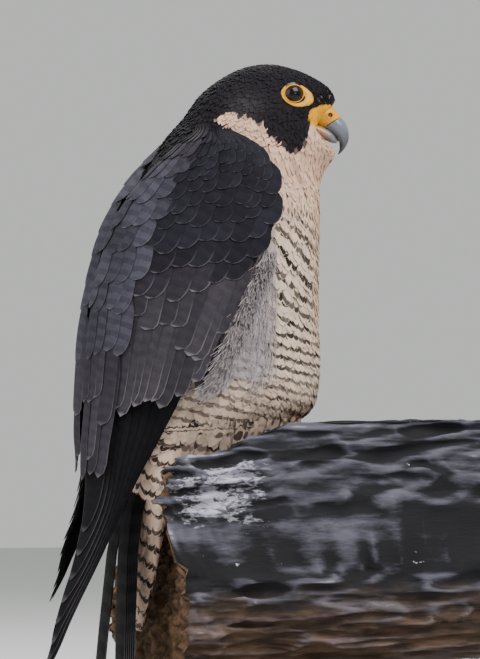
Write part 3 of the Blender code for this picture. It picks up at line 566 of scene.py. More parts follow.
BODY_SKIN = Skin(body_surface, (0.02, 0.01), -1)
WING_SKINS = {side: Skin(wing_surface(side), (0.01, 1.0), side) for side in (-1, 1)}
THIGH_SKINS = {side: Skin(thigh_surface(side), (0.02, 0.01), 1) for side in (-1, 1)}
VENT_SKINS = {side: Skin(vent_surface(side), (0.5, 0.5), side) for side in (-1, 1)}
TAIL_SKIN = Skin(tail_surface, (0.5, 0.5), -1)


def lens_faces(rows, columns):
    """Faces of a thin closed vane: an upper sheet and a lower one that share their rim.

    Returns the quads and the upper point that each lower point lies under.
    """
    upper = np.arange(rows * columns).reshape(rows, columns)
    lower = upper.copy()
    inner = upper[1:-1, 1:-1]
    lower[1:-1, 1:-1] = rows * columns + np.arange(inner.size).reshape(inner.shape)

    def quads(grid, flip):
        corners = [grid[:-1, :-1], grid[1:, :-1], grid[1:, 1:], grid[:-1, 1:]]
        if flip:
            corners.reverse()
        return np.stack(corners, -1).reshape(-1, 4)

    return np.concatenate([quads(upper, False), quads(lower, True)]), inner.ravel()


def draped_vanes(skin, centre_u, centre_v, across, height):
    """Points of many vanes on a surface: each follows its centre line, its width at right angles.

    centre_u and centre_v are (vanes, rows), across and height (vanes, rows, columns). The lower
    sheet lies under the upper one by the thickness and shares its rim.
    """
    thick = bpy.context.scene.falcon_coat.thick / MM
    line = skin.surface(centre_u, centre_v)
    by_u, by_v, normal = skin.slopes(centre_u, centre_v)
    along = unit(np.gradient(line, axis=1))
    sideways = unit(np.cross(normal, along))
    step_u, step_v = to_places(sideways, by_u, by_v)
    u = centre_u[..., None] + across * step_u[..., None]
    v = centre_v[..., None] + across * step_v[..., None]
    out = skin.slopes(u, v)[2]
    upper = skin.surface(u, v) + out * height[..., None]
    count = len(across)
    lower = (upper - out * thick)[:, 1:-1, 1:-1]
    return np.concatenate([upper.reshape(count, -1, 3), lower.reshape(count, -1, 3)], 1)


def outline(kind, rows):
    """Shares of length and of half width down a vane of a kind, closer together at the tip."""
    t = np.linspace(0, 1, rows)
    share = t if rows < 6 else 1 - (1 - t) ** 1.35
    if kind == "strand":
        return share, 1 - 0.75 * share
    widest, tip_from, power, root = {
        "body": (0.45, 0.50, 2.0, 0.35),
        "round": (0.40, 0.62, 2.1, 0.35),
        "long": (0.22, 0.86, 2.2, 0.50),
        "pointed": (0.30, 0.55, 1.45, 0.45),
    }[kind]
    wide = root + (1 - root) * ease(share / widest)
    tip = np.clip((share - tip_from) / (1 - tip_from), 0, 1)
    return share, np.maximum(wide * np.sqrt(np.clip(1 - tip**power, 0, 1)), 0.03)


def quad_piece(name, points, faces, slot=None, uvs=None, attributes=None):
    """A mesh object from bird-frame points, with maps and attributes given for each point."""
    mesh = bpy.data.meshes.new(name)
    points = place(points).reshape(-1, 3)
    faces = np.asarray(faces, np.int32)
    mesh.vertices.add(len(points))
    mesh.vertices.foreach_set("co", points.astype(np.float32).ravel())
    mesh.loops.add(faces.size)
    mesh.loops.foreach_set("vertex_index", faces.ravel())
    mesh.polygons.add(len(faces))
    starts = np.arange(0, faces.size, faces.shape[1], dtype=np.int32)
    mesh.polygons.foreach_set("loop_start", starts)
    mesh.polygons.foreach_set("use_smooth", np.ones(len(faces), bool))
    for label, value in (uvs or {}).items():
        layer = mesh.uv_layers.new(name=label)
        layer.data.foreach_set("uv", value.reshape(-1, 2)[faces.ravel()].astype(np.float32).ravel())
    for label, value in (attributes or {}).items():
        value = np.asarray(value, np.float32).reshape(len(points), -1)
        kind = {1: "FLOAT", 3: "FLOAT_VECTOR", 4: "FLOAT_COLOR"}[value.shape[1]]
        field = {1: "value", 3: "vector", 4: "color"}[value.shape[1]]
        mesh.attributes.new(label, kind, "POINT").data.foreach_set(field, value.ravel())
    mesh.update(calc_edges=True)
    obj = bpy.data.objects.new(name, mesh)
    bpy.context.scene.collection.objects.link(obj)
    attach(obj, "root")
    return obj


def grid_faces(rows, columns, closed=False):
    """Quads of a grid of points, joined round from the last column to the first if closed."""
    index = np.arange(rows * columns).reshape(rows, columns)
    if closed:
        index = np.concatenate([index, index[:, :1]], 1)
    corners = [index[:-1, :-1], index[:-1, 1:], index[1:, 1:], index[1:, :-1]]
    return np.stack(corners, -1).reshape(-1, 4)


def tube_mesh(rings):
    """Points and triangles of a closed tube through rings, with a fan over each end."""
    rows, columns = rings.shape[:2]
    quads = grid_faces(rows, columns, True)
    triangles = np.concatenate([quads[:, [0, 1, 2]], quads[:, [0, 2, 3]]])
    points = np.concatenate([rings.reshape(-1, 3), [rings[0].mean(0), rings[-1].mean(0)]])
    here = np.arange(columns)
    after = (here + 1) % columns
    start, end = rows * columns, rows * columns + 1
    top = (rows - 1) * columns
    first = np.stack([np.full(columns, start), after, here], -1)
    last = np.stack([np.full(columns, end), top + here, top + after], -1)
    return points, np.concatenate([triangles, first, last])


def outward(points, faces):
    """The same triangles, turned over if they enclose a negative volume."""
    a, b, c = (points[faces[:, k]] - points.mean(0) for k in range(3))
    volume = np.sum(a * np.cross(b, c))
    return faces if volume > 0 else faces[:, ::-1]


def joined(parts):
    """Points and triangles of several closed meshes as one, all facing out."""
    points = np.concatenate([own for own, _ in parts])
    starts = np.cumsum([0] + [len(own) for own, _ in parts])
    faces = [outward(*part) + start for part, start in zip(parts, starts)]
    return points, np.concatenate(faces)


def tube_piece(name, rings, slot, attributes=None):
    """A closed tube as one smooth piece; attributes are given for each point of the rings."""
    points, faces = tube_mesh(rings)
    shape = rings.shape[:2]
    filled = {}
    for label, value in (attributes or {}).items():
        value = np.broadcast_to(value, shape)
        filled[label] = np.concatenate([value.ravel(), [value[0].mean(), value[-1].mean()]])
    return quad_piece(name, points, outward(points, faces), slot, None, filled)


def path_rings(path, radii, columns, reference=(0.12, 0.31, 0.94)):
    """Rings of points round a path: the path plus a radius times cosine and sine across it."""
    path = np.asarray(path, float)
    along = unit(np.gradient(path, axis=0))
    side = unit(np.cross(along, np.array(reference)))
    third = np.cross(along, side)
    angle = np.linspace(0, TURN, columns, endpoint=False)[None, :, None]
    ring = np.cos(angle) * side[:, None] + np.sin(angle) * third[:, None]
    radii = np.asarray(radii, float)
    radii = radii[:, None] if radii.ndim == 1 else radii
    return path[:, None] + radii[..., None] * ring


def side_view(points):
    """Places of points as seen square to the head's side: forward, height and distance sideways.

    The body is turned towards the view by the head's turn, and the head itself not at all.
    """
    z = points[..., 2]
    turn = ease((z - 159) / 56)
    own = turned(points, -HEAD_TURN * turn)
    rest = math.radians(-VIEW_AZIMUTH) * (1 - turn)
    forward = own[..., 0] * np.cos(rest) + np.abs(own[..., 1]) * np.sin(rest)
    return forward, z, own[..., 1]


def inside_outline(corners, x, z):
    """Distance to a closed outline in millimetres, positive inside it."""
    corners = np.array(corners, float)
    after = np.roll(corners, -1, axis=0)
    p = np.stack([x, z], -1)[..., None, :]
    edge = after - corners
    along = np.clip(np.sum((p - corners) * edge, -1) / np.sum(edge * edge, -1), 0, 1)
    nearest = np.linalg.norm(p - corners - along[..., None] * edge, axis=-1).min(-1)
    crosses = (corners[:, 1] > z[..., None]) != (after[:, 1] > z[..., None])
    rise = np.where(np.abs(edge[:, 1]) < 1e-9, 1e-9, edge[:, 1])
    at = corners[:, 0] + edge[:, 0] * (z[..., None] - corners[:, 1]) / rise
    odd = np.sum(crosses & (x[..., None] < at), -1) % 2 == 1
    return np.where(odd, nearest, -nearest)


def mixed(base, other, share):
    """One colour turned into another by a share for each point."""
    return base + (np.asarray(other) - base) * np.asarray(share)[..., None]


def frontness(points):
    """How far forward a point lies across the body: -1 at the back line and 1 at the front."""
    rows = np.array(BODY)
    level = (rows[:, 1] + rows[:, 3]) / 2
    order = np.argsort(level)
    z = points[..., 2]
    back, front = (np.interp(z, level[order], rows[order, k]) for k in (0, 2))
    return (points[..., 0] - (back + front) / 2) / np.maximum((front - back) / 2, 1)


def flank_share(forward, z):
    """How far a place is covered by the grey loose feathers of the flank, above the thigh."""
    return ease((27 - forward) / 7) * ease((150 - z) / 14) * ease((z - 42) / 12)


def body_colours(points):
    """Ground colour of the small feathers at a place, how pale it is, and how strong its marks."""
    c = bpy.context.scene.falcon_plumage
    forward, z, _ = side_view(points)
    pale = inside_outline(PALE_EDGE, forward, z)
    head_pale = ease((pale + 1.1 * ripple(points, 9, 3) + 0.8) / 1.6)
    ahead = frontness(points)
    low_pale = np.maximum(ease((ahead + 0.30) / 0.16), ease((48 - z) / 10))
    low = ease((165 - z) / 25)
    share = head_pale * (1 - low) + low_pale * low
    under = mixed(np.array(c.throat), c.breast, ease((176 - z + 0.2 * forward) / 60))
    warm = ease((forward - 42) / 16) * ease((190 - z) / 30) * ease((z - 55) / 25)
    under = mixed(under, c.front, 0.8 * warm)
    side = flank_share(forward, z)
    under = mixed(under, c.flank, side)
    under = mixed(under, c.under_tail, ease((30 - z) / 30))
    dark = mixed(np.array(c.hood), c.back, ease((205 - z) / 30) * ease((-ahead + 0.2) / 0.3))
    lores = np.exp(-(((forward - 60) / 5) ** 2 + ((z - 221) / 4) ** 2))
    dark = mixed(dark, c.throat, 0.45 * lores * (ripple(points, 2.2, 27) > 0.5))
    ear = np.exp(-(((forward - 10) / 11) ** 2 + ((z - 222) / 7) ** 2))
    dark = mixed(dark, c.ear, 0.75 * ear)
    # Darker towards the bottom of the belly: partly the browner buff of the low feathers, partly
    # painted shade under the belly.
    under = under * (1 - 0.28 * ease((58 - z) / 35) * ease((z - 2) / 12))[..., None]
    marks = share * ease((172 - z) / 20) * (1 - 0.7 * side)
    under = mixed(under, c.under_tail, 0.35 * ease((50 - z) / 30))
    return mixed(dark, under, share), share, marks


def bar_phase(points):
    """Turns of the bars at a place: level V shapes under the tail, slanted bars above."""
    forward, z, sideways = side_view(points)
    lean = 0.22 + 0.55 * ease((z - 60) / 85)
    slanted = (z + (forward - 45) * lean) / np.sqrt(1 + lean**2) / BAR_SPACING
    under = (z + 0.55 * np.abs(sideways)) / TAIL_BAR_SPACING
    return slanted + (under - slanted) * ease((22 - z) / 6)


class Nodes:
    """Adds nodes to one material and links them."""

    def __init__(self, name):
        self.material = bpy.data.materials.new(name)
        self.material.use_nodes = True
        self.tree = self.material.node_tree
        self.shader = self.tree.nodes["Principled BSDF"]

    def add(self, kind, *values, **settings):
        """A new node with its settings and inputs; returns its first output."""
        node = self.tree.nodes.new(kind)
        for key, value in settings.items():
            setattr(node, key, value)
        for socket, value in zip(node.inputs, values):
            self.feed(socket, value)
        return node.outputs[0]

    def feed(self, socket, value):
        """Links an output to a socket, or sets the socket's own value."""
        if value is None:
            return
        if isinstance(value, bpy.types.NodeSocket):
            self.tree.links.new(value, socket)
        else:
            socket.default_value = value

    def maths(self, operation, *values):
        """A Math node's result."""
        return self.add("ShaderNodeMath", *values, operation=operation)

    def plus(self, a, b):
        """a and b added."""
        return self.maths("ADD", a, b)

    def minus(self, a, b):
        """a less b."""
        return self.maths("SUBTRACT", a, b)

    def times(self, a, b):
        """a times b."""
        return self.maths("MULTIPLY", a, b)

    def scaled(self, colour_in, factor):
        """A colour times a factor."""
        output = self.add("ShaderNodeVectorMath", colour_in, operation="SCALE")
        self.feed(output.node.inputs["Scale"], factor)
        return output

    def split(self, vector):
        """The three parts of a vector."""
        return self.add("ShaderNodeSeparateXYZ", vector).node.outputs

    def between(self, value, low, high):
        """0 below low and 1 above high, easing between."""
        node = self.tree.nodes.new("ShaderNodeMapRange")
        node.interpolation_type = "SMOOTHSTEP"
        self.feed(node.inputs["Value"], value)
        self.feed(node.inputs["From Min"], low)
        self.feed(node.inputs["From Max"], high)
        return node.outputs["Result"]

    def mix(self, share, a, b):
        """Colour a turned into colour b by a share."""
        node = self.tree.nodes.new("ShaderNodeMix")
        node.data_type = "RGBA"
        self.feed(node.inputs["Factor"], share)
        self.feed(node.inputs[6], (*a, 1) if isinstance(a, (tuple, list)) else a)
        self.feed(node.inputs[7], (*b, 1) if isinstance(b, (tuple, list)) else b)
        return node.outputs[2]

    def attribute(self, name, output="Color"):
        """One output of a mesh attribute."""
        node = self.tree.nodes.new("ShaderNodeAttribute")
        node.attribute_name = name
        return node.outputs[output]

    def place(self, scale=(1, 1, 1), turn=(0, 0, 0)):
        """Object coordinates in metres, scaled and turned."""
        coordinates = self.tree.nodes.new("ShaderNodeTexCoord").outputs["Object"]
        mapping = self.tree.nodes.new("ShaderNodeMapping")
        mapping.inputs["Scale"].default_value = scale
        mapping.inputs["Rotation"].default_value = turn
        self.feed(mapping.inputs["Vector"], coordinates)
        return mapping.outputs["Vector"]

    def noise(self, vector, scale, detail=3.0, rough=0.5):
        """Cloudy noise between 0 and 1."""
        node = self.tree.nodes.new("ShaderNodeTexNoise")
        self.feed(node.inputs["Vector"], vector)
        node.inputs["Scale"].default_value = scale
        node.inputs["Detail"].default_value = detail
        node.inputs["Roughness"].default_value = rough
        return node.outputs["Fac"]

    def bump(self, height, strength, distance):
        """Fine relief on the shader from a height."""
        node = self.tree.nodes.new("ShaderNodeBump")
        node.inputs["Strength"].default_value = strength
        node.inputs["Distance"].default_value = distance
        self.feed(node.inputs["Height"], height)
        self.feed(self.shader.inputs["Normal"], node.outputs["Normal"])

    def finish(self, colour=None, rough=0.6, **settings):
        """Feeds the shader and sets its plain values; returns the material."""
        self.feed(self.shader.inputs["Base Color"], colour)
        self.feed(self.shader.inputs["Roughness"], rough)
        for key, value in settings.items():
            label = key.replace("_", " ").title().replace("Ior", "IOR")
            self.shader.inputs[label].default_value = value
        return self.material


def plumage(name, barbs=60.0, rough=0.70):
    """Feather material from the vane map (across, along) and the attributes of the vanes.

    tint is the ground and mark the colour of the bars or of a spot, with their strength. Bars are
    dark where the sine of the attribute phase, bent back at the vane's sides, is over form's
    first value; form's second value turns them into one spot near the tip, and its third one is
    the strength of the fringe, in the colour edge, round the tip's rim. The shaft runs down the
    middle, and fine slanted barbs ripple the surface.
    """
    n = Nodes(name)
    uv = n.tree.nodes.new("ShaderNodeUVMap")
    uv.uv_map = "vane"
    t, s, _ = n.split(uv.outputs[0])
    across = n.times(n.maths("ABSOLUTE", n.minus(t, 0.5)), 2.0)
    level, spot, fringe = n.split(n.attribute("form", "Vector"))
    cloud = n.noise(n.place(), 260.0, 4.0, 0.6)
    wander = n.times(n.minus(cloud, 0.5), 0.24)
    bend = n.times(n.maths("POWER", across, 2.0), -0.22)
    drift = n.plus(n.attribute("phase", "Fac"), n.plus(bend, wander))
    wave = n.maths("SINE", n.times(drift, TURN))
    bar = n.between(n.minus(wave, level), -0.22, 0.22)
    down = n.maths("DIVIDE", n.plus(n.minus(s, 0.78), wander), 0.17)
    aside = n.maths("DIVIDE", across, 0.42)
    away = n.plus(n.times(down, down), n.times(aside, aside))
    dot = n.minus(1.0, n.between(away, 0.45, 1.0))
    chosen = n.tree.nodes.new("ShaderNodeMix")
    chosen.data_type = "FLOAT"
    n.feed(chosen.inputs[0], spot)
    n.feed(chosen.inputs[2], bar)
    n.feed(chosen.inputs[3], dot)
    covered = n.times(chosen.outputs[0], n.attribute("mark", "Alpha"))
    ground = n.mix(covered, n.attribute("tint"), n.attribute("mark"))
    sides = n.times(n.between(across, 0.86, 0.98), n.between(s, 0.50, 0.95))
    rim = n.maths("MAXIMUM", sides, n.between(s, 0.955, 0.99))
    ground = n.mix(n.times(rim, fringe), ground, n.attribute("edge"))
    shaft = n.times(n.minus(1.0, n.between(across, 0.0, 0.06)), 0.3)
    ground = n.mix(shaft, ground, n.mix(0.5, n.attribute("tint"), (0.01, 0.008, 0.008)))
    line = n.plus(n.times(s, barbs), n.times(across, -barbs * 0.16))
    barb = n.maths("SINE", n.times(line, TURN))
    fine = n.plus(n.times(barb, 0.08), n.times(cloud, 0.8))
    # Painted shade: each vane gets darker towards its root, where the feather above covers it, and
    # lighter towards its tip.
    fine = n.plus(fine, n.times(n.minus(s, 0.6), 0.22))
    tone = n.scaled(ground, n.plus(fine, 0.58))
    n.bump(n.minus(barb, n.times(shaft, -4.0)), 0.25, 0.0001)
    return n.finish(tone, rough, specular_ior_level=0.09)


def shade(colour_in, times):
    """A colour times a number."""
    return tuple(times * v for v in colour_in)


def skin_material(name):
    """The skin under the feathers, tinted as they are."""
    n = Nodes(name)
    tone = n.noise(n.place(), 300.0, 3.0)
    tint = n.scaled(n.attribute("tint"), n.plus(tone, 0.4))
    n.bump(tone, 0.5, 0.0006)
    return n.finish(tint, 0.85, specular_ior_level=0.2)


def bare_skin_material(name, grain, depth):
    """Bare yellow skin with a fine grain, and dark red where the nostril attribute says: the
    nostril's red lining, darkened as painted shade inside the hole.
    """
    n = Nodes(name)
    c = bpy.context.scene.falcon_bare
    where = n.place()
    patch = n.noise(where, 220.0, 4.0)
    yellow = n.mix(n.between(patch, 0.3, 0.75), tuple(c.yellow), shade(c.yellow, 0.72))
    colour_out = n.mix(n.attribute("deep", "Fac"), yellow, tuple(c.nostril))
    cells = n.tree.nodes.new("ShaderNodeTexVoronoi")
    n.feed(cells.inputs["Vector"], where)
    cells.inputs["Scale"].default_value = grain
    n.bump(n.plus(cells.outputs["Distance"], n.times(patch, 0.6)), 0.45, depth)
    return n.finish(colour_out, 0.42, specular_ior_level=0.45)


def horn_material(name, base, tip, rough=0.22):
    """Smooth horn whose colour changes along the attribute along, with faint length-wise lines."""
    n = Nodes(name)
    along = n.attribute("along", "Fac")
    streak = n.noise(n.place((1, 1, 0.35)), 900.0, 3.0)
    moved = n.plus(along, n.times(n.minus(streak, 0.5), 0.35))
    colour_out = n.mix(n.between(moved, 0.15, 0.85), base, tip)
    n.bump(streak, 0.15, 0.00015)
    shine = {"specular_ior_level": 0.5, "coat_weight": 0.25, "coat_roughness": 0.15}
    return n.finish(colour_out, rough, **shine)


def coat_piece(name, points, shape, maps, looks, bake, slot="breast_plumage"):
    """Joins vanes of one shape into a piece with its maps and colours.

    maps is the (across, along) of each upper point, looks the attributes of each vane, of which
    phase has a value for each upper point, and bake the place of each root on the skin's unwrap,
    round which its patch of the bake map lies. The rim's edges are sharp, so that each sheet is
    shaded by its own faces.
    """
    rows, columns = shape
    count = len(points)
    faces, under = lens_faces(rows, columns)
    each = points.shape[1]
    all_faces = (faces[None] + (np.arange(count) * each)[:, None, None]).reshape(-1, 4)
    border = np.zeros((rows, columns), bool)
    border[[0, -1]] = border[:, [0, -1]] = True
    border = np.concatenate([border.ravel(), np.zeros(each - rows * columns, bool)])
    vane_map = np.concatenate([maps, maps[under]])
    vane = np.broadcast_to(vane_map, (count, each, 2))
    patch = bake[:, None] + (vane_map - 0.5) * 0.003
    attributes = {}
    for label, value in looks.items():
        value = np.asarray(value, float)
        if label == "phase":
            upper = value.reshape(count, -1)
            attributes[label] = np.concatenate([upper, upper[:, under]], 1)
        else:
            attributes[label] = np.repeat(value, each, axis=0)
    uvs = {"vane": vane.reshape(-1, 2), "OFBake": np.clip(patch, 0, 1).reshape(-1, 2)}
    piece = quad_piece(name, points.reshape(-1, 3), all_faces, slot, uvs, attributes)
    ends = np.empty(len(piece.data.edges) * 2, np.int32)
    piece.data.edges.foreach_get("vertices", ends)
    sharp = border[ends.reshape(-1, 2) % each].all(1)
    piece.data.attributes.new("sharp_edge", "BOOLEAN", "EDGE").data.foreach_set("value", sharp)
    piece.data.materials.append(plumage(name))
    return piece


def spread_roots(skin, low, high, tries, seed, spacing, keep=None):
    """Roots spread evenly over part of a surface, no two nearer than the spacing at their place.

    Random places, more of them where the surface is larger or the spacing is smaller, are taken
    in turn, and each one that is kept rules out the others in its reach.
    """
    chance = np.random.default_rng(seed)
    u = chance.uniform(low[0], high[0], tries * 3)
    v = chance.uniform(low[1], high[1], tries * 3)
    by_u, by_v, _ = skin.slopes(u, v)
    area = np.linalg.norm(np.cross(by_u, by_v), axis=-1)
    gap = spacing(u, v)
    weight = area / gap**2
    if keep is not None:
        weight = weight * keep(u, v)
    pick = chance.choice(len(u), tries, replace=False, p=weight / weight.sum())
    u, v, gap = u[pick], v[pick], gap[pick]
    points = skin.surface(u, v)
    tree = KDTree(tries)
    for i, point in enumerate(points):
        tree.insert(point, i)
    tree.balance()
    taken = np.zeros(tries, bool)
    kept = []
    for i in range(tries):
        if not taken[i]:
            kept.append(i)
            for _, j, _ in tree.find_range(points[i], gap[i]):
                taken[j] = True
    return u[kept], v[kept]


def short_vanes(skin, u, v, lie, long, wide, low, rise, shape, kind, seed, bow=0.0, curl=0.0):
    """Points of short feathers that start at places on a surface and follow a lie.

    Each one's centre line steps from its root along the lie, its height goes from low to low plus
    rise at the tip, falls by bow at its edges, and curls by curl times the cube of the way.
    """
    rows, columns = shape
    share, half = outline(kind, rows)
    chance = np.random.default_rng(seed)
    each = (np.broadcast_to(value, len(u)) for value in (long, wide, low, rise, curl))
    long, wide, low, rise, curl = each
    by_u, by_v, _ = skin.slopes(u, v)
    step_u, step_v = to_places(lie, by_u, by_v)
    way = long[:, None] * share
    centre_u = u[:, None] + step_u[:, None] * way
    centre_v = v[:, None] + step_v[:, None] * way
    t = np.linspace(-1, 1, columns)
    across = (wide / 2)[:, None, None] * half[:, None] * t
    lift = low[:, None, None] + rise[:, None, None] * share[:, None]
    lift = lift + curl[:, None, None] * (share**3)[:, None] - bow * t**2
    uneven = np.clip(wide / 7, 0, 1)
    lift = lift + (chance.uniform(-0.12, 0.12, len(u)) * uneven)[:, None, None]
    lean = (chance.uniform(-0.3, 0.3, len(u)) * uneven)[:, None, None] * t
    return draped_vanes(skin, centre_u, centre_v, across, lift + lean), vane_maps(shape, share)


def vane_maps(shape, share):
    """The (across, along) map of each upper point of a vane."""
    t = np.linspace(0, 1, shape[1])
    return np.stack(np.broadcast_arrays(t, share[:, None]), -1).reshape(-1, 2)


def swung(skin, u, v, angle, down):
    """The lie on a surface: against its u steps if down, turned in the surface by an angle."""
    by_u, _, normal = skin.slopes(u, v)
    way = unit(-by_u if down else by_u)
    return way * np.cos(angle)[..., None] + np.cross(normal, way) * np.sin(angle)[..., None]


def eye_frame(side):
    """Centre, looking direction, forward and up of an eye."""
    x, y, z = EYE_CENTRE
    lx, ly, lz = EYE_LOOKS
    centre = turned(np.array([x, side * y, z]), HEAD_TURN)
    looks = unit(turned(np.array([lx, side * ly, lz]), HEAD_TURN))
    ahead = turned(np.array([1.0, 0, 0]), HEAD_TURN)
    ahead = unit(ahead - looks * (ahead @ looks))
    up = np.cross(ahead, looks) * side * -1
    return centre, looks, ahead, up if up[2] > 0 else -up


def bare_distance(points):
    """How far points lie outside the bare skin round the nearer eye, in millimetres."""
    result = np.full(points.shape[:-1], 1e3)
    for side in (-1, 1):
        centre, looks, ahead, up = eye_frame(side)
        away = points - centre
        x, y = away @ ahead, away @ up
        reach = np.interp(np.degrees(np.arctan2(y, x)), *np.array(BARE_REACH, float).T)
        result = np.where(away @ looks > -2, np.minimum(result, np.hypot(x, y) - reach), result)
    return result


def gape_distance(points):
    """How far points lie inside the bare skin behind the cere, in millimetres."""
    own = turned(points, -HEAD_TURN)
    return inside_outline(GAPE, own[..., 0], own[..., 2])


def coat_table(s, column):
    """One column of the coat's table at ring places s."""
    table = np.array(COAT)
    return np.interp(s, table[:, 0], table[:, column])


def tinted(colour_in, tone, alpha=1.0):
    """Colours for attributes, each times its tone, with a fourth value."""
    rgb = np.broadcast_to(np.asarray(colour_in), (len(tone), 3)) * np.asarray(tone)[:, None]
    return np.concatenate([rgb, np.broadcast_to(alpha, len(tone))[:, None]], 1)


def vane_looks(tone, tint, mark, strength, edge, form, phase):
    """Attributes of a piece's vanes: colours times each vane's tone, its forms and bar phases."""
    return {
        "tint": tinted(tint, tone),
        "mark": tinted(mark, tone, strength),
        "edge": tinted(edge, tone),
        "form": np.stack([np.broadcast_to(value, len(tone)) for value in form], -1),
        "phase": phase,
    }


def body_bake(u, v):
    """Where feathers rooted at places of the body lie on the bake map."""
    return np.stack([v / TURN, u / BODY_END], -1)


def coat_pieces(parts, points, shape, maps, looks, bake):
    """Makes a piece of each part of a coat: its name, which vanes are in it, and its slot."""
    for name, part, slot in parts:
        chosen = {key: value[part] for key, value in looks.items()}
        coat_piece(name, points[part], shape, maps, chosen, bake[part], slot)


def head_and_neck():
    """Small feathers of the head and neck, left out where the skin round the eye is bare."""
    u, v = spread_roots(
        BODY_SKIN, (14.0, 0), (BODY_END, TURN), 90000, 11, lambda s, _: coat_table(s, 2)
    )
    chance = np.random.default_rng(12)
    lie = swung(BODY_SKIN, u, v, chance.normal(0, 0.12, len(u)), True)
    long = coat_table(u, 3) * chance.uniform(0.85, 1.2, len(u))
    root = BODY_SKIN.surface(u, v)
    tip = root + lie * long[:, None]
    clear = (bare_distance(root) > 0.3) & (bare_distance(tip) > 0.0)
    clear &= bare_distance((root + tip) / 2) > 0.1
    clear &= (gape_distance(root) < 0.0) & (gape_distance(tip) < 0.6)
    u, v, lie, long, root = u[clear], v[clear], lie[clear], long[clear], root[clear]
    wide = coat_table(u, 4) * chance.uniform(0.85, 1.15, len(u))
    low = 0.15 - coat_table(u, 1)
    points, maps = short_vanes(
        BODY_SKIN, u, v, lie, long, wide, low, 0.25 - low, HEAD_VANE, "body", 13, bow=0.12
    )
    tint, share, marks = body_colours(root)
    c = bpy.context.scene.falcon_plumage
    tone = chance.uniform(0.88, 1.12, len(u))
    forward, z, _ = side_view(root)
    # Painted shade: feathers along a crease line down the throat's side, from under the chin to the
    # breast, are darkened by up to 0.4.
    away_from_shaded_crease = np.abs(forward - np.interp(z, (160.0, 193.0), (48.4, 36.0))) / 1.3
    tone = tone * (1 - 0.40 * np.exp(-(away_from_shaded_crease**2)) * ease((z - 158) / 6) * ease((195 - z) / 4))
    edge = mixed(tint * 1.5, c.throat, share)
    phase = np.zeros((len(u), len(maps)))
    looks = vane_looks(tone, tint, c.bars, marks * 0.6, edge, (0.3, 1, 0.25 * (1 - share)), phase)
    parts = (
        ("hood_feathers", share < 0.5, "hood_plumage"),
        ("throat_feathers", share >= 0.5, "breast_plumage"),
    )
    coat_pieces(parts, points, HEAD_VANE, maps, looks, body_bake(u, v))


def body_feathers():
    """Feathers of the underside, rump and back, with spots above and bars below."""
    u, v = spread_roots(
        BODY_SKIN, (0.25, 0), (14.6, TURN), 50000, 21, lambda s, _: coat_table(s, 2)
    )
    chance = np.random.default_rng(22)
    lie = swung(BODY_SKIN, u, v, chance.normal(0, 0.12, len(u)), True)
    long = coat_table(u, 3) * chance.uniform(0.85, 1.2, len(u))
    wide = coat_table(u, 4) * chance.uniform(0.85, 1.15, len(u))
    low = -0.55 * coat_table(u, 1)
    points, maps = short_vanes(
        BODY_SKIN, u, v, lie, long, wide, low, 0.4 - low, BODY_VANE, "body", 23, bow=0.30
    )
    tip = BODY_SKIN.surface(u, v) + lie * (long * 0.7)[:, None]
    tint, share, marks = body_colours(tip)
    c = bpy.context.scene.falcon_plumage
    z = tip[:, 2]
    forward = side_view(tip)[0]
    spots = np.maximum(ease((z - 142) / 16), 0.8 * ease((forward - 45) / 8) * ease((z - 60) / 20))
    phase = bar_phase(points[:, : len(maps)]) + chance.normal(0, 0.07, (len(u), 1))
    duty = 0.42 + 0.13 * ease((22 - z) / 6)
    broken = chance.uniform(0.80, 1.0, len(u)) - 0.25 * ease((60 - z) / 20) * ease((z - 22) / 6)
    broken = broken * (1 - 0.45 * ease((z - 150) / 20))
    tone = chance.uniform(0.90, 1.10, len(u))
    edge = mixed(np.array(c.fringe) * 0.5, tint * 1.15, share)
    looks = vane_looks(tone, tint, c.bars, marks * broken, edge, (duty, spots, 0.5), phase)
    parts = (
        ("underside_feathers", u <= 9, "breast_plumage"),
        ("breast_feathers", u > 9, "breast_plumage"),
    )
    coat_pieces(parts, points, BODY_VANE, maps, looks, body_bake(u, v))


def strands(name, u, v, angle, long, low, rise, seed, tint):
    """A piece of thin loose strands over the body, which rise along their length."""
    chance = np.random.default_rng(seed)
    lie = swung(BODY_SKIN, u, v, angle, True)
    wide = chance.uniform(0.45, 0.85, len(u))
    points, maps = short_vanes(
        BODY_SKIN, u, v, lie, long, wide, low, rise, STRAND, "strand", seed + 1, curl=0.3
    )
    tone = chance.uniform(0.75, 1.2, len(u))
    phase = np.zeros((len(u), len(maps)))
    looks = vane_looks(tone, tint, tint, 0.0, tint, (0, 0, 0), phase)
    coat_piece(name, points, STRAND, maps, looks, body_bake(u, v))


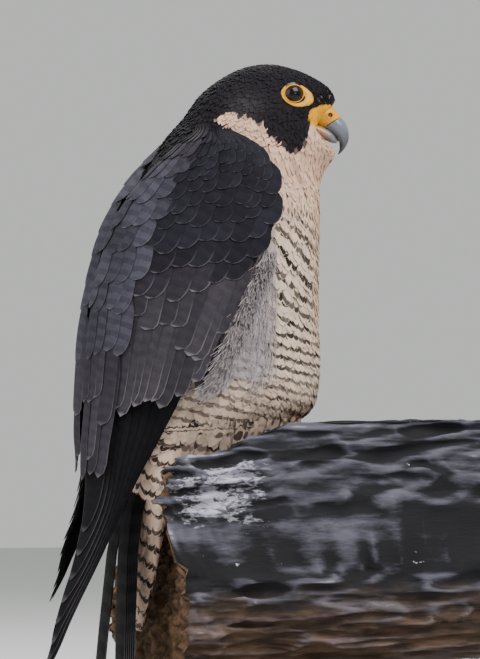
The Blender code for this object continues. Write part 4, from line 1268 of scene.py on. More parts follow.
def flank_down():
    """Loose hair-like strands over the flanks, and longer ones that lap over the wings' edges."""
    c = bpy.context.scene.falcon_plumage
    fluff = np.array(c.flank) * 1.1
    for side in (-1, 1):
        label = SIDE_NAMES[side]
        middle = math.pi if side < 0 else TURN
        ahead = math.pi * 0.25 * -side

        def shown(u, v):
            forward, z, _ = side_view(body_surface(u, v))
            return flank_share(forward - 2, z) + 1e-6

        low_v, high_v = sorted((middle + ahead * 0.1, middle + ahead * 2.1))
        low, high = (6.0, low_v), (13.2, high_v)
        u, v = spread_roots(
            BODY_SKIN, low, high, 6000, 31 + side, lambda s, _: 1.9 + 0 * s, shown
        )
        seen = flank_share(*side_view(body_surface(u, v))[:2]) > 0.05
        u, v = u[seen], v[seen]
        chance = np.random.default_rng(33 + side)
        angle = side * (0.30 + chance.normal(0, 0.22, len(u)))
        long = chance.uniform(10, 19, len(u))
        tint = mixed(body_colours(body_surface(u, v))[0], fluff, 0.7)
        strands(f"flank_down_{label}", u, v, angle, long, -0.8, 2.2, 35, tint)
        edge_u, edge_v = wing_front_places(side)
        count = 1500
        at = chance.uniform(0, 1, count)
        spread = chance.uniform(0.07, 0.22, count) * -side
        u = np.interp(at, np.linspace(0, 1, len(edge_u)), edge_u)
        v = np.interp(at, np.linspace(0, 1, len(edge_v)), edge_v) + spread
        angle = side * (0.62 + chance.normal(0, 0.22, count))
        long = chance.uniform(8, 14, count)
        rise = chance.uniform(9, 12, count)
        strands(f"flank_fringe_{label}", u, v, angle, long, -0.5, rise, 37, fluff)


def wing_front_places(side):
    """Body places that lie under the front edge of a folded wing, from the breast down."""
    edge = WING_SKINS[side].surface(0.0, np.linspace(128, 44, 30))
    s = np.linspace(5, 14, 130)[:, None]
    v = np.linspace(0, TURN, 260)[None]
    grid = body_surface(s, v)
    flat_s, flat_v = (np.broadcast_to(k, grid.shape[:2]).ravel() for k in (s, v))
    away = np.linalg.norm(edge[:, None] - grid.reshape(1, -1, 3), axis=-1)
    nearest = away.argmin(1)
    return flat_s[nearest], np.unwrap(flat_v[nearest])


def thigh_feathers():
    """Soft barred feathers of the legs, lying down round each thigh."""
    c = bpy.context.scene.falcon_plumage
    for side in (-1, 1):
        skin = THIGH_SKINS[side]
        u, v = spread_roots(
            skin, (0.0, 0), (len(THIGH) - 1.1, TURN), 9000, 41, lambda t, _: 3.2 - 0.25 * t
        )
        chance = np.random.default_rng(43)
        lie = swung(skin, u, v, chance.normal(0, 0.12, len(u)), False)
        long = (11.5 - 0.9 * u) * chance.uniform(0.85, 1.2, len(u))
        points, maps = short_vanes(
            skin, u, v, lie, long, 5.5 - 0.4 * u, -1.4, 2.0, BODY_VANE, "body", 45, bow=0.25
        )
        tone = chance.uniform(0.9, 1.1, len(u))
        tint = 0.72 * mixed(np.array(c.breast), c.under_tail, 0.4)
        strength = chance.uniform(0.5, 0.95, len(u))
        phase = bar_phase(points[:, : len(maps)]) + chance.normal(0, 0.1, (len(u), 1))
        looks = vane_looks(tone, tint, c.bars, strength, tint * 1.1, (0.45, 0, 0.4), phase)
        bake = np.stack([v / TURN, u / len(THIGH)], -1)
        name = f"thigh_feathers_{SIDE_NAMES[side]}"
        piece = coat_piece(name, points, BODY_VANE, maps, looks, bake)
        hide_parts(f"thigh_{SIDE_NAMES[side]}")


def vent_feathers():
    """Loose feathers that hang down beside the feet, over the log's edge."""
    c = bpy.context.scene.falcon_plumage
    for side in (-1, 1):
        skin = VENT_SKINS[side]
        u, v = spread_roots(skin, (-44.0, 10.0), (26.0, 27.0), 1500, 46, lambda x, _: 3.0 + 0 * x)
        chance = np.random.default_rng(47)
        lie = swung(skin, u, v, chance.normal(0, 0.10, len(u)), False)
        by_v = skin.slopes(u, v)[1]
        lie = unit(-by_v + 0.25 * lie * chance.normal(0, 1, (len(u), 1)))
        long = chance.uniform(13, 19, len(u)) - 0.10 * np.maximum(-u - 15, 0)
        low = chance.uniform(-4.0, 0.0, len(u))
        points, maps = short_vanes(
            skin, u, v, lie, long, 6.0, low, 1.5, BODY_VANE, "body", 48, bow=0.3
        )
        tone = chance.uniform(0.85, 1.1, len(u))
        tint = 0.72 * mixed(np.array(c.breast), c.under_tail, 0.5)
        strength = chance.uniform(0.4, 0.9, len(u))
        phase = bar_phase(points[:, : len(maps)]) + chance.normal(0, 0.1, (len(u), 1))
        looks = vane_looks(tone, tint, c.bars, strength, tint * 1.1, (0.5, 0, 0.4), phase)
        bake = np.stack([(u + 44) / 100, v / 40], -1)
        coat_piece(f"vent_feathers_{SIDE_NAMES[side]}", points, BODY_VANE, maps, looks, bake)


def row_level(rows, number, base, step):
    """Height of one row over the shell at z: a step for each row that has come out below it."""
    comes_out = np.array([row[3] - 4.0 for row in rows])

    def height(z):
        passed = np.interp(-z, -comes_out, np.arange(len(rows)))
        sunk = np.clip((z - comes_out[number]) / 8.0, 0, 1)
        return base + step * np.maximum(passed - number, 0) - 1.2 * sunk

    return height


def row_feathers(side, rows, number, base, step, seed):
    """Points and places of one row of wing feathers, each overlapping the one ahead of it.

    Every second row is set off by half a feather, and places and lengths vary a little.
    """
    skin = WING_SKINS[side]
    count, front, back, root_z, tips, share_wide = rows[number]
    chance = np.random.default_rng(seed + number)
    fine = np.linspace(front, back, 60)
    tip_places = np.linspace(front, back, len(tips))
    line = skin.surface(fine, 0.5 * root_z + 0.5 * np.interp(fine, tip_places, tips))
    reach = np.concatenate([[0], np.linalg.norm(np.diff(line, axis=0), axis=1).cumsum()])
    spacing = reach[-1] / (count - 0.5)
    at = (np.arange(count) + 0.5 * (number % 2)) * spacing
    at = at + chance.uniform(-0.16, 0.16, count) * spacing
    a = np.interp(at, reach, fine)
    long = root_z - np.interp(a, tip_places, tips)
    tip_z = root_z - long * chance.uniform(0.88, 1.12, count)
    tip = a * 0.97 + chance.uniform(-0.016, 0.016, count)
    share, half = outline("long" if long.mean() > 45 else "round", WING_VANE[0])
    centre_a = a[:, None] + (tip - a)[:, None] * share
    centre_z = root_z + (tip_z - root_z)[:, None] * share
    t = np.linspace(-1, 1, WING_VANE[1])
    wide = spacing * share_wide * chance.uniform(0.94, 1.08, count)
    across = (wide / 2)[:, None, None] * half[:, None] * t
    level = row_level(rows, number, base, step)
    lean = 0.42 * share_wide * t * half[:, None] * -side
    lift = level(centre_z)[..., None] + lean - 0.45 * t**2 * half[:, None]
    lift = lift + chance.uniform(-0.12, 0.12, (count, 1, 1)) * share[:, None]
    points = draped_vanes(skin, centre_a, centre_z, across, lift)
    return points, vane_maps(WING_VANE, share), np.stack([a, tip_z, root_z + 0 * a], -1)


def wing_looks(side, tract, places, maps):
    """Colours and marks of wing feathers from their tract and place on the wing."""
    c = bpy.context.scene.falcon_plumage
    a, tip_z, root_z = places.T
    count = len(a)
    chance = np.random.default_rng(70 + side + count)
    if tract == "covert":
        tint = mixed(np.array(c.covert), c.secondary, ease((122 - tip_z) / 45))
        mark, strength = tint * 0.5, 0.40 - 0.15 * ease((110 - tip_z) / 30)
        fringe = 0.22 + 0.45 * ease((135 - tip_z) / 40)
    elif tract == "scapular":
        brown = ease((tip_z - 160) / 30)
        tint = mixed(np.array(c.scapular), c.back, brown)
        low = ease((70 - tip_z) / 40)
        tint = mixed(tint, c.secondary, 0.8 * low)
        mark, strength = tint * 0.45, 0.50 * (1 - 0.7 * brown) * (1 - 0.5 * low)
        fringe = 0.25 + 0.25 * low
    else:
        tint = np.array(c.primary)
        mark, strength, fringe = tint * 0.5, 0.3, 0.3
    tone = chance.uniform(0.72, 1.30, count)
    turns = (root_z - tip_z)[:, None] / WING_BAR_SPACING * maps[:, 1]
    phase = turns + chance.uniform(0, 1, (count, 1))
    return vane_looks(tone, tint, mark, strength, c.fringe, (0.1, 0, fringe), phase)


def wing_piece(side, tract, name, points, shape, maps, places):
    """One tract's feathers of a wing as a piece."""
    looks = wing_looks(side, tract, places, maps)
    bake = np.stack([places[:, 0], (places[:, 2] - WING_TIP) / WING_LENGTH], -1)
    return coat_piece(name, points, shape, maps, looks, bake, "slate_plumage")


def wing_feathers():
    """Coverts, shoulder feathers and the long feathers of both folded wings."""
    step = bpy.context.scene.falcon_coat.step / MM
    for side in (-1, 1):
        label = SIDE_NAMES[side]
        for tract, rows, base in (("covert", COVERT_ROWS, -2.0), ("scapular", SCAPULAR_ROWS, -1.2)):
            made = [row_feathers(side, rows, k, base, step, 50 + side) for k in range(len(rows))]
            points, maps, places = zip(*made)
            points, places = np.concatenate(points), np.concatenate(places)
            piece = wing_piece(side, tract, f"{tract}s_{label}", points, WING_VANE, maps[0], places)
            if tract == "covert":
                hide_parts(f"wing_{label}")
        primary_feathers(side)


def primary_feathers(side):
    """The longest feathers, fanned from the wing's lower edge and stacked at its tip."""
    skin = WING_SKINS[side]
    count = len(PRIMARY_TIPS)
    k = np.arange(count)
    a = np.interp(k, (0, count - 1), PRIMARY_ROOTS)
    tip_a = np.interp(k, (0, count - 1), PRIMARY_TIP_PLACES)
    root_z = 68.0 - 14.0 * a
    share, half = outline("pointed", PRIMARY_VANE[0])
    centre_a = a[:, None] + (tip_a - a)[:, None] * share
    centre_z = root_z[:, None] + (np.array(PRIMARY_TIPS) - root_z)[:, None] * share
    t = np.linspace(-1, 1, PRIMARY_VANE[1])
    across = PRIMARY_WIDTH / 2 * half[:, None] * t * np.ones((count, 1, 1))
    lift = (-4.6 - 0.95 * k)[:, None, None] - 0.5 * t**2 * half[:, None] + 0.15 * t * -side
    points = draped_vanes(skin, centre_a, centre_z, across, lift)
    maps = vane_maps(PRIMARY_VANE, share)
    places = np.stack([a, np.array(PRIMARY_TIPS), root_z], -1)
    name = f"primaries_{SIDE_NAMES[side]}"
    wing_piece(side, "primary", name, points, PRIMARY_VANE, maps, places)


def tail_feathers():
    """Twelve tail feathers in two stacked halves, the middle ones at the back."""
    share, half = outline("long", TAIL_VANE[0])
    t = np.linspace(-1, 1, TAIL_VANE[1])
    across, centre_y, centre_z, lift = [], [], [], []
    for side in (-1, 1):
        for k in range(TAIL_VANES):
            root, tip = TAIL_HALVES[side]
            root, tip = root + 1.8 * k, tip + (1.0, 1.8)[side > 0] * k
            centre_y.append(side * (root + (tip - root) * share))
            centre_z.append(TAIL_ROOT_Z + (TAIL_TIP_Z + 1.2 * k - TAIL_ROOT_Z) * share)
            across.append(TAIL_WIDTH / 2 * half[:, None] * t)
            lift.append((TAIL_VANES - 1 - k) * 0.8 - 0.8 * t**2 * half[:, None])
    points = draped_vanes(TAIL_SKIN, *(np.array(k) for k in (centre_y, centre_z, across, lift)))
    maps = vane_maps(TAIL_VANE, share)
    c = bpy.context.scene.falcon_plumage
    count = 2 * TAIL_VANES
    tone = np.random.default_rng(61).uniform(0.85, 1.15, count)
    phase = np.tile(maps[:, 1] * TAIL_VANE_BARS, (count, 1))
    mark = np.array(c.primary) * 0.6
    looks = vane_looks(tone, c.tail, mark, 0.8, c.fringe, (0, 0, 0.5), phase)
    bake = np.stack([np.arange(count) / count + 0.03, np.full(count, 0.5)], -1)
    piece = coat_piece("tail_feathers", points, TAIL_VANE, maps, looks, bake, "slate_plumage")
    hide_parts("tail")


def under_skin():
    """One closed skin under the whole coat: body, thighs and wing beds grown together."""
    s = np.linspace(0.05, BODY_END, 190)[:, None]
    v = np.linspace(0, TURN, 110, endpoint=False)[None]
    parts = [tube_mesh(BODY_SKIN.lifted(s, v, -coat_table(s, 1) + 0 * v))]
    for side in (-1, 1):
        t = np.linspace(0, len(THIGH) - 1, 40)[:, None]
        w = np.linspace(0, TURN, 60, endpoint=False)[None]
        parts.append(tube_mesh(THIGH_SKINS[side].lifted(t, w, -2.0 + 0 * (t + w))))
        a = np.linspace(0.0, 1.0, 46)[None]
        z = WING_TOP - 1 + (52 - 12 * a - WING_TOP) * np.linspace(0, 1, 90)[:, None]
        rim = 0.3 + 0.7 * np.sqrt(np.clip(1 - (2 * a - 1) ** 4, 0, 1))
        top = -2.9 + 1.0 * ease((a - 0.63) / 0.08) + 0 * z
        outer = WING_SKINS[side].lifted(a + 0 * z, z, top)
        inner = WING_SKINS[side].lifted(a + 0 * z, z, top - 6.5 * rim)
        loop = np.concatenate([outer, inner[:, ::-1]], 1)
        parts.append(tube_mesh(loop))
    obj = quad_piece("under_skin", *joined(parts), "breast_plumage")
    modifier = obj.modifiers.new("Remesh", "REMESH")
    modifier.mode = "VOXEL"
    modifier.voxel_size = SKIN_VOXEL
    modifier.use_smooth_shade = True
    mesh = bpy.data.meshes.new_from_object(obj.evaluated_get(bpy.context.evaluated_depsgraph_get()))
    obj.modifiers.clear()
    obj.data = mesh
    count = len(mesh.vertices)
    places = np.empty(count * 3, np.float32)
    mesh.vertices.foreach_get("co", places)
    where = places.reshape(-1, 3) / MM - (BIRD_X, 0, PERCH_TOP)
    tint = body_colours(where)[0]
    c = bpy.context.scene.falcon_plumage
    front = np.interp(where[:, 2], *np.array(WING)[:, :2].T)
    wing = (where[:, 0] < front + 3) & (np.abs(where[:, 1]) > 14) & (where[:, 2] > 50)
    tint = mixed(tint, c.covert, (wing & (where[:, 2] < 205)).astype(float))
    aside = np.abs(turned(where, -HEAD_TURN)[:, 1]) > 4
    gape = ease((gape_distance(where) + 1.2) / 0.8) * aside
    tint = mixed(tint, bpy.context.scene.falcon_bare.yellow, gape)
    layer = mesh.attributes.new("tint", "FLOAT_COLOR", "POINT")
    rgba = np.concatenate([tint, np.ones((count, 1))], 1).astype(np.float32)
    layer.data.foreach_set("color", rgba.ravel())
    mesh.polygons.foreach_set("use_smooth", np.ones(len(mesh.polygons), bool))
    mesh.materials.clear()
    mesh.materials.append(skin_material("under_skin"))
    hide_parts("torso", "neck", "head")


def eyes():
    """Two dark glossy balls: an iris ring round a black pupil, under a clear wet coat."""
    rows, columns = 48, 64
    polar = np.linspace(0, math.pi, rows)[:, None]
    turn = np.linspace(0, TURN, columns, endpoint=False)[None]
    for side in (-1, 1):
        centre, looks, ahead, up = eye_frame(side)
        radius = EYE_RADIUS - 0.05 + 0.5 * np.exp(-((polar / 0.62) ** 4))
        ring = np.cos(turn)[..., None] * ahead + np.sin(turn)[..., None] * up
        points = centre + radius[..., None] * (
            np.cos(polar)[..., None] * looks + np.sin(polar)[..., None] * ring
        )
        name = f"eye_ball_{SIDE_NAMES[side]}"
        piece = tube_piece(name, points, "eye", {"along": polar})
        n = Nodes(name)
        c = bpy.context.scene.falcon_bare
        ring_share = n.between(n.attribute("along", "Fac"), 0.42, 0.50)
        iris = n.mix(ring_share, (0.002, 0.002, 0.002), tuple(c.iris))
        piece.data.materials.append(
            n.finish(iris, 0.10, specular_ior_level=0.22, coat_weight=0.1, coat_roughness=0.02)
        )
        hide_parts(f"eye_{SIDE_NAMES[side]}")


def head_depth(side, x, y):
    """How far the head's surface lies out along the eye's look at places round the eye.

    The body's surface is sampled closely and each place takes the mean of its nearest samples.
    """
    centre, looks, ahead, up = eye_frame(side)
    s = np.linspace(18.0, BODY_END, 240)[:, None]
    v = np.linspace(0, TURN, 500)[None]
    away = (body_surface(s, v) - centre).reshape(-1, 3)
    away = away[(away @ looks > -3) & (np.linalg.norm(away, axis=-1) < 26)]
    flat = np.stack([away @ ahead, away @ up], -1)
    near = np.linalg.norm(np.stack([x, y], -1).reshape(-1, 1, 2) - flat[None], axis=-1)
    order = np.argpartition(near, 6, axis=1)[:, :6]
    return (away @ looks)[order].mean(1).reshape(x.shape)


def eye_rings():
    """Bare yellow skin from the rim of each eye out to an outline that is widest ahead of it.

    Rings run from inside the opening, over a rounded lid, and then over the head to the edge,
    where they dip under the feathers.
    """
    columns, lid_rows, patch_rows = 72, 9, 12
    turn = np.linspace(-math.pi, math.pi, columns, endpoint=False)
    reach = along_table(BARE_REACH, np.degrees(turn))
    for side in (-1, 1):
        centre, looks, ahead, up = eye_frame(side)
        wide, high = EYE_OPENING
        opening = wide * high / np.hypot(high * np.cos(turn), wide * np.sin(turn))
        rim = np.sqrt(EYE_RADIUS**2 - opening**2)
        rows = []
        for k in range(lid_rows):
            bend = math.pi * (-0.15 + 1.0 * k / (lid_rows - 1))
            up_lid = rim - 0.2 + 1.6 * LID * math.sin(bend)
            rows.append((opening + LID * (1 - math.cos(bend)), up_lid))
        inner = opening + 1.9 * LID
        for k in range(1, patch_rows + 1):
            share = k / patch_rows
            radius = inner + (np.maximum(reach + 1.2, inner + 0.6) - inner) * share
            x, y = radius * np.cos(turn), radius * np.sin(turn)
            surface = head_depth(side, x, y)
            start = rim - 0.4
            height = surface - 0.1 - 1.6 * ease((share - 0.82) / 0.18)
            depth = start + (height - start) * ease(share / 0.4)
            rows.append((radius, depth))
        radius, depth = (np.array([row[k] for row in rows]) for k in range(2))
        points = (
            centre
            + radius[..., None] * (np.cos(turn)[:, None] * ahead + np.sin(turn)[:, None] * up)
            + depth[..., None] * looks
        )
        fade = np.clip(np.arange(len(rows)) - lid_rows, 0, 4)[:, None] / 4
        points = points + (0.12 * np.sin(turn * 26) * fade)[..., None] * looks
        faces = grid_faces(len(rows), columns, True)
        if side > 0:
            faces = faces[:, ::-1]
        name = f"eye_ring_{SIDE_NAMES[side]}"
        deep = {"deep": np.zeros(points.shape[:2])}
        piece = quad_piece(name, points, faces, "yellow_skin", None, deep)
        piece.data.materials.append(bare_skin_material(name, 1400.0, 0.0002))


def profile_rings(rows, rings, columns):
    """Rings of a bill part: ellipses between its upper and lower lines, in the head's own frame."""
    angle = np.linspace(0, TURN, columns, endpoint=False)[None]
    row = smooth(rows, np.linspace(0, len(rows) - 1, rings))
    upper, lower, width = row[:, 0:2], row[:, 2:4], row[:, 4:5]
    middle, reach = (upper + lower) / 2, (upper - lower) / 2
    return np.stack(
        [
            middle[:, 0:1] + reach[:, 0:1] * np.sin(angle),
            width * np.cos(angle),
            middle[:, 1:2] + reach[:, 1:2] * np.sin(angle),
        ],
        -1,
    )


def bill():
    """Cere with its nostrils, hooked upper mandible and shorter lower one."""
    c = bpy.context.scene.falcon_bare
    cere = profile_rings(CERE, 60, 96)
    x, y, z = cere[..., 0], cere[..., 1], cere[..., 2]
    away = np.hypot(x - NOSTRIL[0], z - NOSTRIL[1])
    side = np.abs(y) > 3
    brim = 0.35 * np.exp(-(((away - 2.0) / 0.5) ** 2))
    dent = np.where(side, 2.2 * (1 - ease((away - 0.7) / 1.0)) - brim, 0)
    knob = np.where(side, 1.5 * np.exp(-((away / 0.42) ** 2)), 0)
    cere[..., 1] = y - np.sign(y) * (dent - knob)
    # Dark red inside the nostril's dent, round its central knob: partly its red lining, partly
    # painted shade of the hole.
    deep = (1 - ease((away - 1.15) / 0.4)) * (1 - np.exp(-((away / 0.45) ** 2))) * side
    piece = tube_piece("cere_skin", turned(cere, HEAD_TURN), "yellow_skin", {"deep": deep})
    piece.data.materials.append(bare_skin_material("cere_skin", 1200.0, 0.00018))
    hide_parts("cere")
    upper = profile_rings(BILL_UPPER, 70, 64)
    along = np.linspace(0, 1, 70)[:, None]
    low = np.clip(-np.sin(np.linspace(0, TURN, 64, endpoint=False)), 0, 1)[None]
    tooth = 1.0 * np.exp(-(((along - 0.50) / 0.05) ** 2)) * low**2
    notch = 0.7 * np.exp(-(((along - 0.62) / 0.04) ** 2)) * low**2
    upper[..., 2] -= tooth - notch
    upper = turned(upper, HEAD_TURN)
    piece = tube_piece("upper_mandible", upper, "bill_horn", {"along": along})
    piece.data.materials.append(horn_material("upper_mandible", tuple(c.horn), tuple(c.black)))
    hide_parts("bill_upper")
    lower = profile_rings(BILL_LOWER, 50, 56)
    along = np.linspace(0, 1, 50)[:, None]
    piece = tube_piece("lower_mandible", turned(lower, HEAD_TURN), "bill_horn", {"along": along})
    base = tuple(0.45 * v + 0.5 * w for v, w in zip(c.yellow, c.horn))
    piece.data.materials.append(horn_material("lower_mandible", base, tuple(c.horn), 0.3))
    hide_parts("bill_lower")


def toe_path(side, direction, length, steps):
    """A toe's centre line: up from the ball, along, and down to its tip."""
    angle = math.radians(direction) * side
    ahead = np.array([math.cos(angle), math.sin(angle), 0])
    share = np.linspace(0, 1, steps)
    height = np.interp(share, (0, 0.3, 1), (6.0, 6.2, 3.9))
    path = np.array([FOOT_X, side * FOOT_Y, 0]) + ahead * (share * length)[:, None]
    path[:, 2] += height
    return path, share


def feet():
    """Toes with rows of scutes on top and pads below, the balls and the shanks."""
    for side in (-1, 1):
        label = SIDE_NAMES[side]
        parts = []
        for _, direction, length in TOES:
            path, share = toe_path(side, direction, length, 96)
            knuckle = 1 + 0.10 * np.cos(share * TURN * round(length / 13))
            radius = TOE_RADIUS * (1.12 - 0.30 * share) * knuckle * (0.95 if length > 30 else 1.0)
            radius = np.minimum(radius, path[:, 2] - 0.3)
            angle = np.linspace(0, TURN, 28, endpoint=False)[None]
            up = np.clip(np.cos(angle - math.pi * 1.5), 0, 1)
            scutes = 0.06 * (np.abs(np.sin(share * length * math.pi / 2.3))[:, None] - 0.5)
            parts.append(tube_mesh(path_rings(path, radius[:, None] * (1 + scutes * up**0.5), 28)))
        centre = np.array([FOOT_X, side * FOOT_Y, 6.2])
        polar = np.linspace(0.05, math.pi - 0.05, 20)
        ball = centre + np.stack([0 * polar, 0 * polar, -5.4 * np.cos(polar)], -1)
        parts.append(tube_mesh(path_rings(ball, 5.6 * np.sin(polar), 28, (1.0, 0.1, 0.0))))
        share = np.linspace(0, 1, 60)
        shank = centre + np.stack([-2.0 * share, side * 1.0 * share, 2 + 22 * share], -1)
        scutes = 0.05 * (np.abs(np.sin(share * 22 * math.pi / 2.6))[:, None] - 0.5)
        radius = (3.8 - 0.3 * np.sin(share * math.pi))[:, None] * (1 + scutes * np.ones((1, 24)))
        parts.append(tube_mesh(path_rings(shank, radius, 24)))
        points, faces = joined(parts)
        name = f"foot_skin_{label}"
        deep = {"deep": np.zeros(len(points))}
        piece = quad_piece(name, points, faces, "yellow_skin", None, deep)
        piece.data.materials.append(bare_skin_material(name, 700.0, 0.0004))
        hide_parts(f"foot_{label}", f"tarsus_{label}")


def claws():
    """Curved black claws: each arches up from its toe and comes down to a point."""
    c = bpy.context.scene.falcon_bare
    t = np.linspace(0, 1, 30)
    for side in (-1, 1):
        for toe, direction, length in TOES:
            angle = math.radians(direction) * side
            ahead = np.array([math.cos(angle), math.sin(angle), 0])
            start = np.array([FOOT_X, side * FOOT_Y, 0]) + ahead * (length - 1.0)
            up = 4.2 + 2.6 * np.sin(t * math.pi * 0.62) - 6.2 * t**2.2
            path = start + ahead * (CLAW_LENGTH * t**0.9)[:, None]
            path[:, 2] += up
            radius = np.interp(t, (0, 0.2, 0.4, 0.6, 0.8, 1), (2.3, 2.2, 1.9, 1.45, 0.95, 0.25))
            radius = np.minimum(radius, path[:, 2] - 0.25)
            name = f"claw_horn_{SIDE_NAMES[side]}_{toe}"
            along = {"along": t[:, None]}
            piece = tube_piece(name, path_rings(path, radius, 16), "claw_horn", along)
            grey = shade(c.black, 3.0)
            piece.data.materials.append(horn_material(name, grey, tuple(c.black)))
            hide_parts(f"claw_{SIDE_NAMES[side]}_{toe}")


def log_top(x, y):
    """Height of the log's upper side: a worn floor at 0 with higher wood beside and ahead.

    The wall on the near side is raised, so that the section's round shoulder brings it to the rim.
    """
    rim = np.interp(x, *np.array(LOG_RIM).T)
    wall = (LOG_WALL_GAIN * rim + LOG_WALL_RISE) * ease((-y - 47) / 9)
    far = 9 * ease((y - 58) / 10)
    ahead = (rim - 2) * ease((x - 68) / 30)
    return np.maximum(np.maximum(wall, far), ahead)


def log_end(y, z):
    """Where the broken rear end lies across the log."""
    near = np.interp(z, *np.array(LOG_END_NEAR).T)
    middle = np.interp(z, *np.array(LOG_END_MIDDLE).T)
    share = np.clip((-y - 30) / (-LOG_NEAR - 30), 0, 1)
    ragged = 1.3 * np.sin(0.33 * z + 0.21 * y) + 0.9 * np.sin(0.52 * z - 0.13 * y + 1)
    return middle + (near - middle) * share - 4 * ease((y - 30) / 40) + ragged


def log_section(x, angle):
    """A boxy round across the log at each x, ridged along its length."""
    x, angle = np.broadcast_arrays(x, angle)
    c, s = np.cos(angle), np.sin(angle)
    y = (LOG_FAR + LOG_NEAR) / 2 + (LOG_FAR - LOG_NEAR) / 2 * np.sign(c) * np.abs(c) ** 0.55
    high = np.where(s > 0, log_top(x, y) - LOG_MIDDLE_Z, LOG_MIDDLE_Z - LOG_BOTTOM)
    z = LOG_MIDDLE_Z + high * np.sign(s) * np.abs(s) ** 0.42
    rough = (
        1.3 * np.sin(0.34 * z + 0.035 * x + 0.6)
        + 0.9 * np.sin(0.61 * z - 0.022 * x + 2.1)
        + 0.9 * np.sin(0.09 * x + 0.1 * y)
    )
    side = ease((np.abs(c) - 0.75) / 0.15)
    return np.stack([x, y - np.sign(c) * side * (1.5 - rough), z], -1)


def log():
    """The weathered log: rings from the middle of its broken end to its cut end, with relief.

    Long soft waves along it, sharper layered ridges on the sides and pits on the broken end are
    added along the surface's own normal.
    """
    columns = 360
    angle = (np.arange(columns) + 0.5) / columns * TURN
    rim = log_section(np.full((1, columns), -70.0), angle[None])
    end = log_end(rim[..., 1], rim[..., 2])
    share = np.linspace(0, 1, 170)[1:, None]
    rings = log_section(end + (LOG_FRONT - end) * share, angle[None])
    middle = np.array([LOG_FRONT, 5.0, LOG_MIDDLE_Z])
    edge = log_section(end, angle[None])[0]
    rear = middle + (edge - middle) * np.linspace(0.02, 1.0, 60)[:, None, None]
    rear[..., 0] = log_end(rear[..., 1], rear[..., 2])
    scale = np.linspace(1.0, 0.02, 24)[:, None]
    front = middle + (rings[-1] - middle) * scale[..., None]
    front[..., 0] = LOG_FRONT + 2.5 * (1 - scale**6)
    shape = np.concatenate([rear, rings, front])
    by_row = np.gradient(shape, axis=0)
    by_column = np.roll(shape, -1, 1) - np.roll(shape, 1, 1)
    normal = unit(np.cross(by_column, by_row))
    outward_share = np.sign(np.sum(normal * (shape - (40, 5, LOG_MIDDLE_Z)), -1, keepdims=True))
    normal = normal * outward_share
    stretched = shape * (0.16, 1.0, 1.0)
    ridges = 1 - np.abs(ripple(stretched + 2.0 * ripple(shape, 40, 7)[..., None], 13, 5)) * 1.6
    fine = ripple(stretched * (0.6, 1, 1), 4.2, 9)
    ending = (np.arange(len(shape)) < len(rear))[:, None] * np.ones((1, columns))
    pits = ripple(shape, 9, 15) - 0.4 * np.abs(ripple(shape, 4, 17))
    broken = ease((-shape[..., 0] - 20) / 40) * 0.6
    layers = ripple(shape * (0.05, 0.5, 1.0), 9, 23)
    relief = (1 - ending) * (1.5 * ridges + 0.6 * fine - 1.3 + 0.8 * np.tanh(3 * layers))
    relief = relief + ending * (1.6 * pits - 0.8)
    relief = relief + broken * 0.8 * ripple(shape, 6, 19)
    flat = (shape[..., 2] > -3) & (np.abs(shape[..., 1] - 5) < 44) & (shape[..., 0] < 62)
    relief = np.where(flat, np.clip(relief * 0.4 - 0.4, -2, 0.0), relief)
    shape = shape + normal * np.clip(relief, -4.5, 1.8)[..., None]
    points, faces = tube_mesh(shape)
    attributes = {
        "broken": np.concatenate([ending.ravel(), [1, 0]]),
        "ridge": np.concatenate([(relief * 0.3 + 0.5).ravel(), [0.5, 0.5]]),
    }
    faces = outward(points, faces)
    piece = quad_piece("weathered_log", points, faces, "weathered_wood", None, attributes)
    piece.data.materials.append(log_material())
    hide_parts("perch_log")


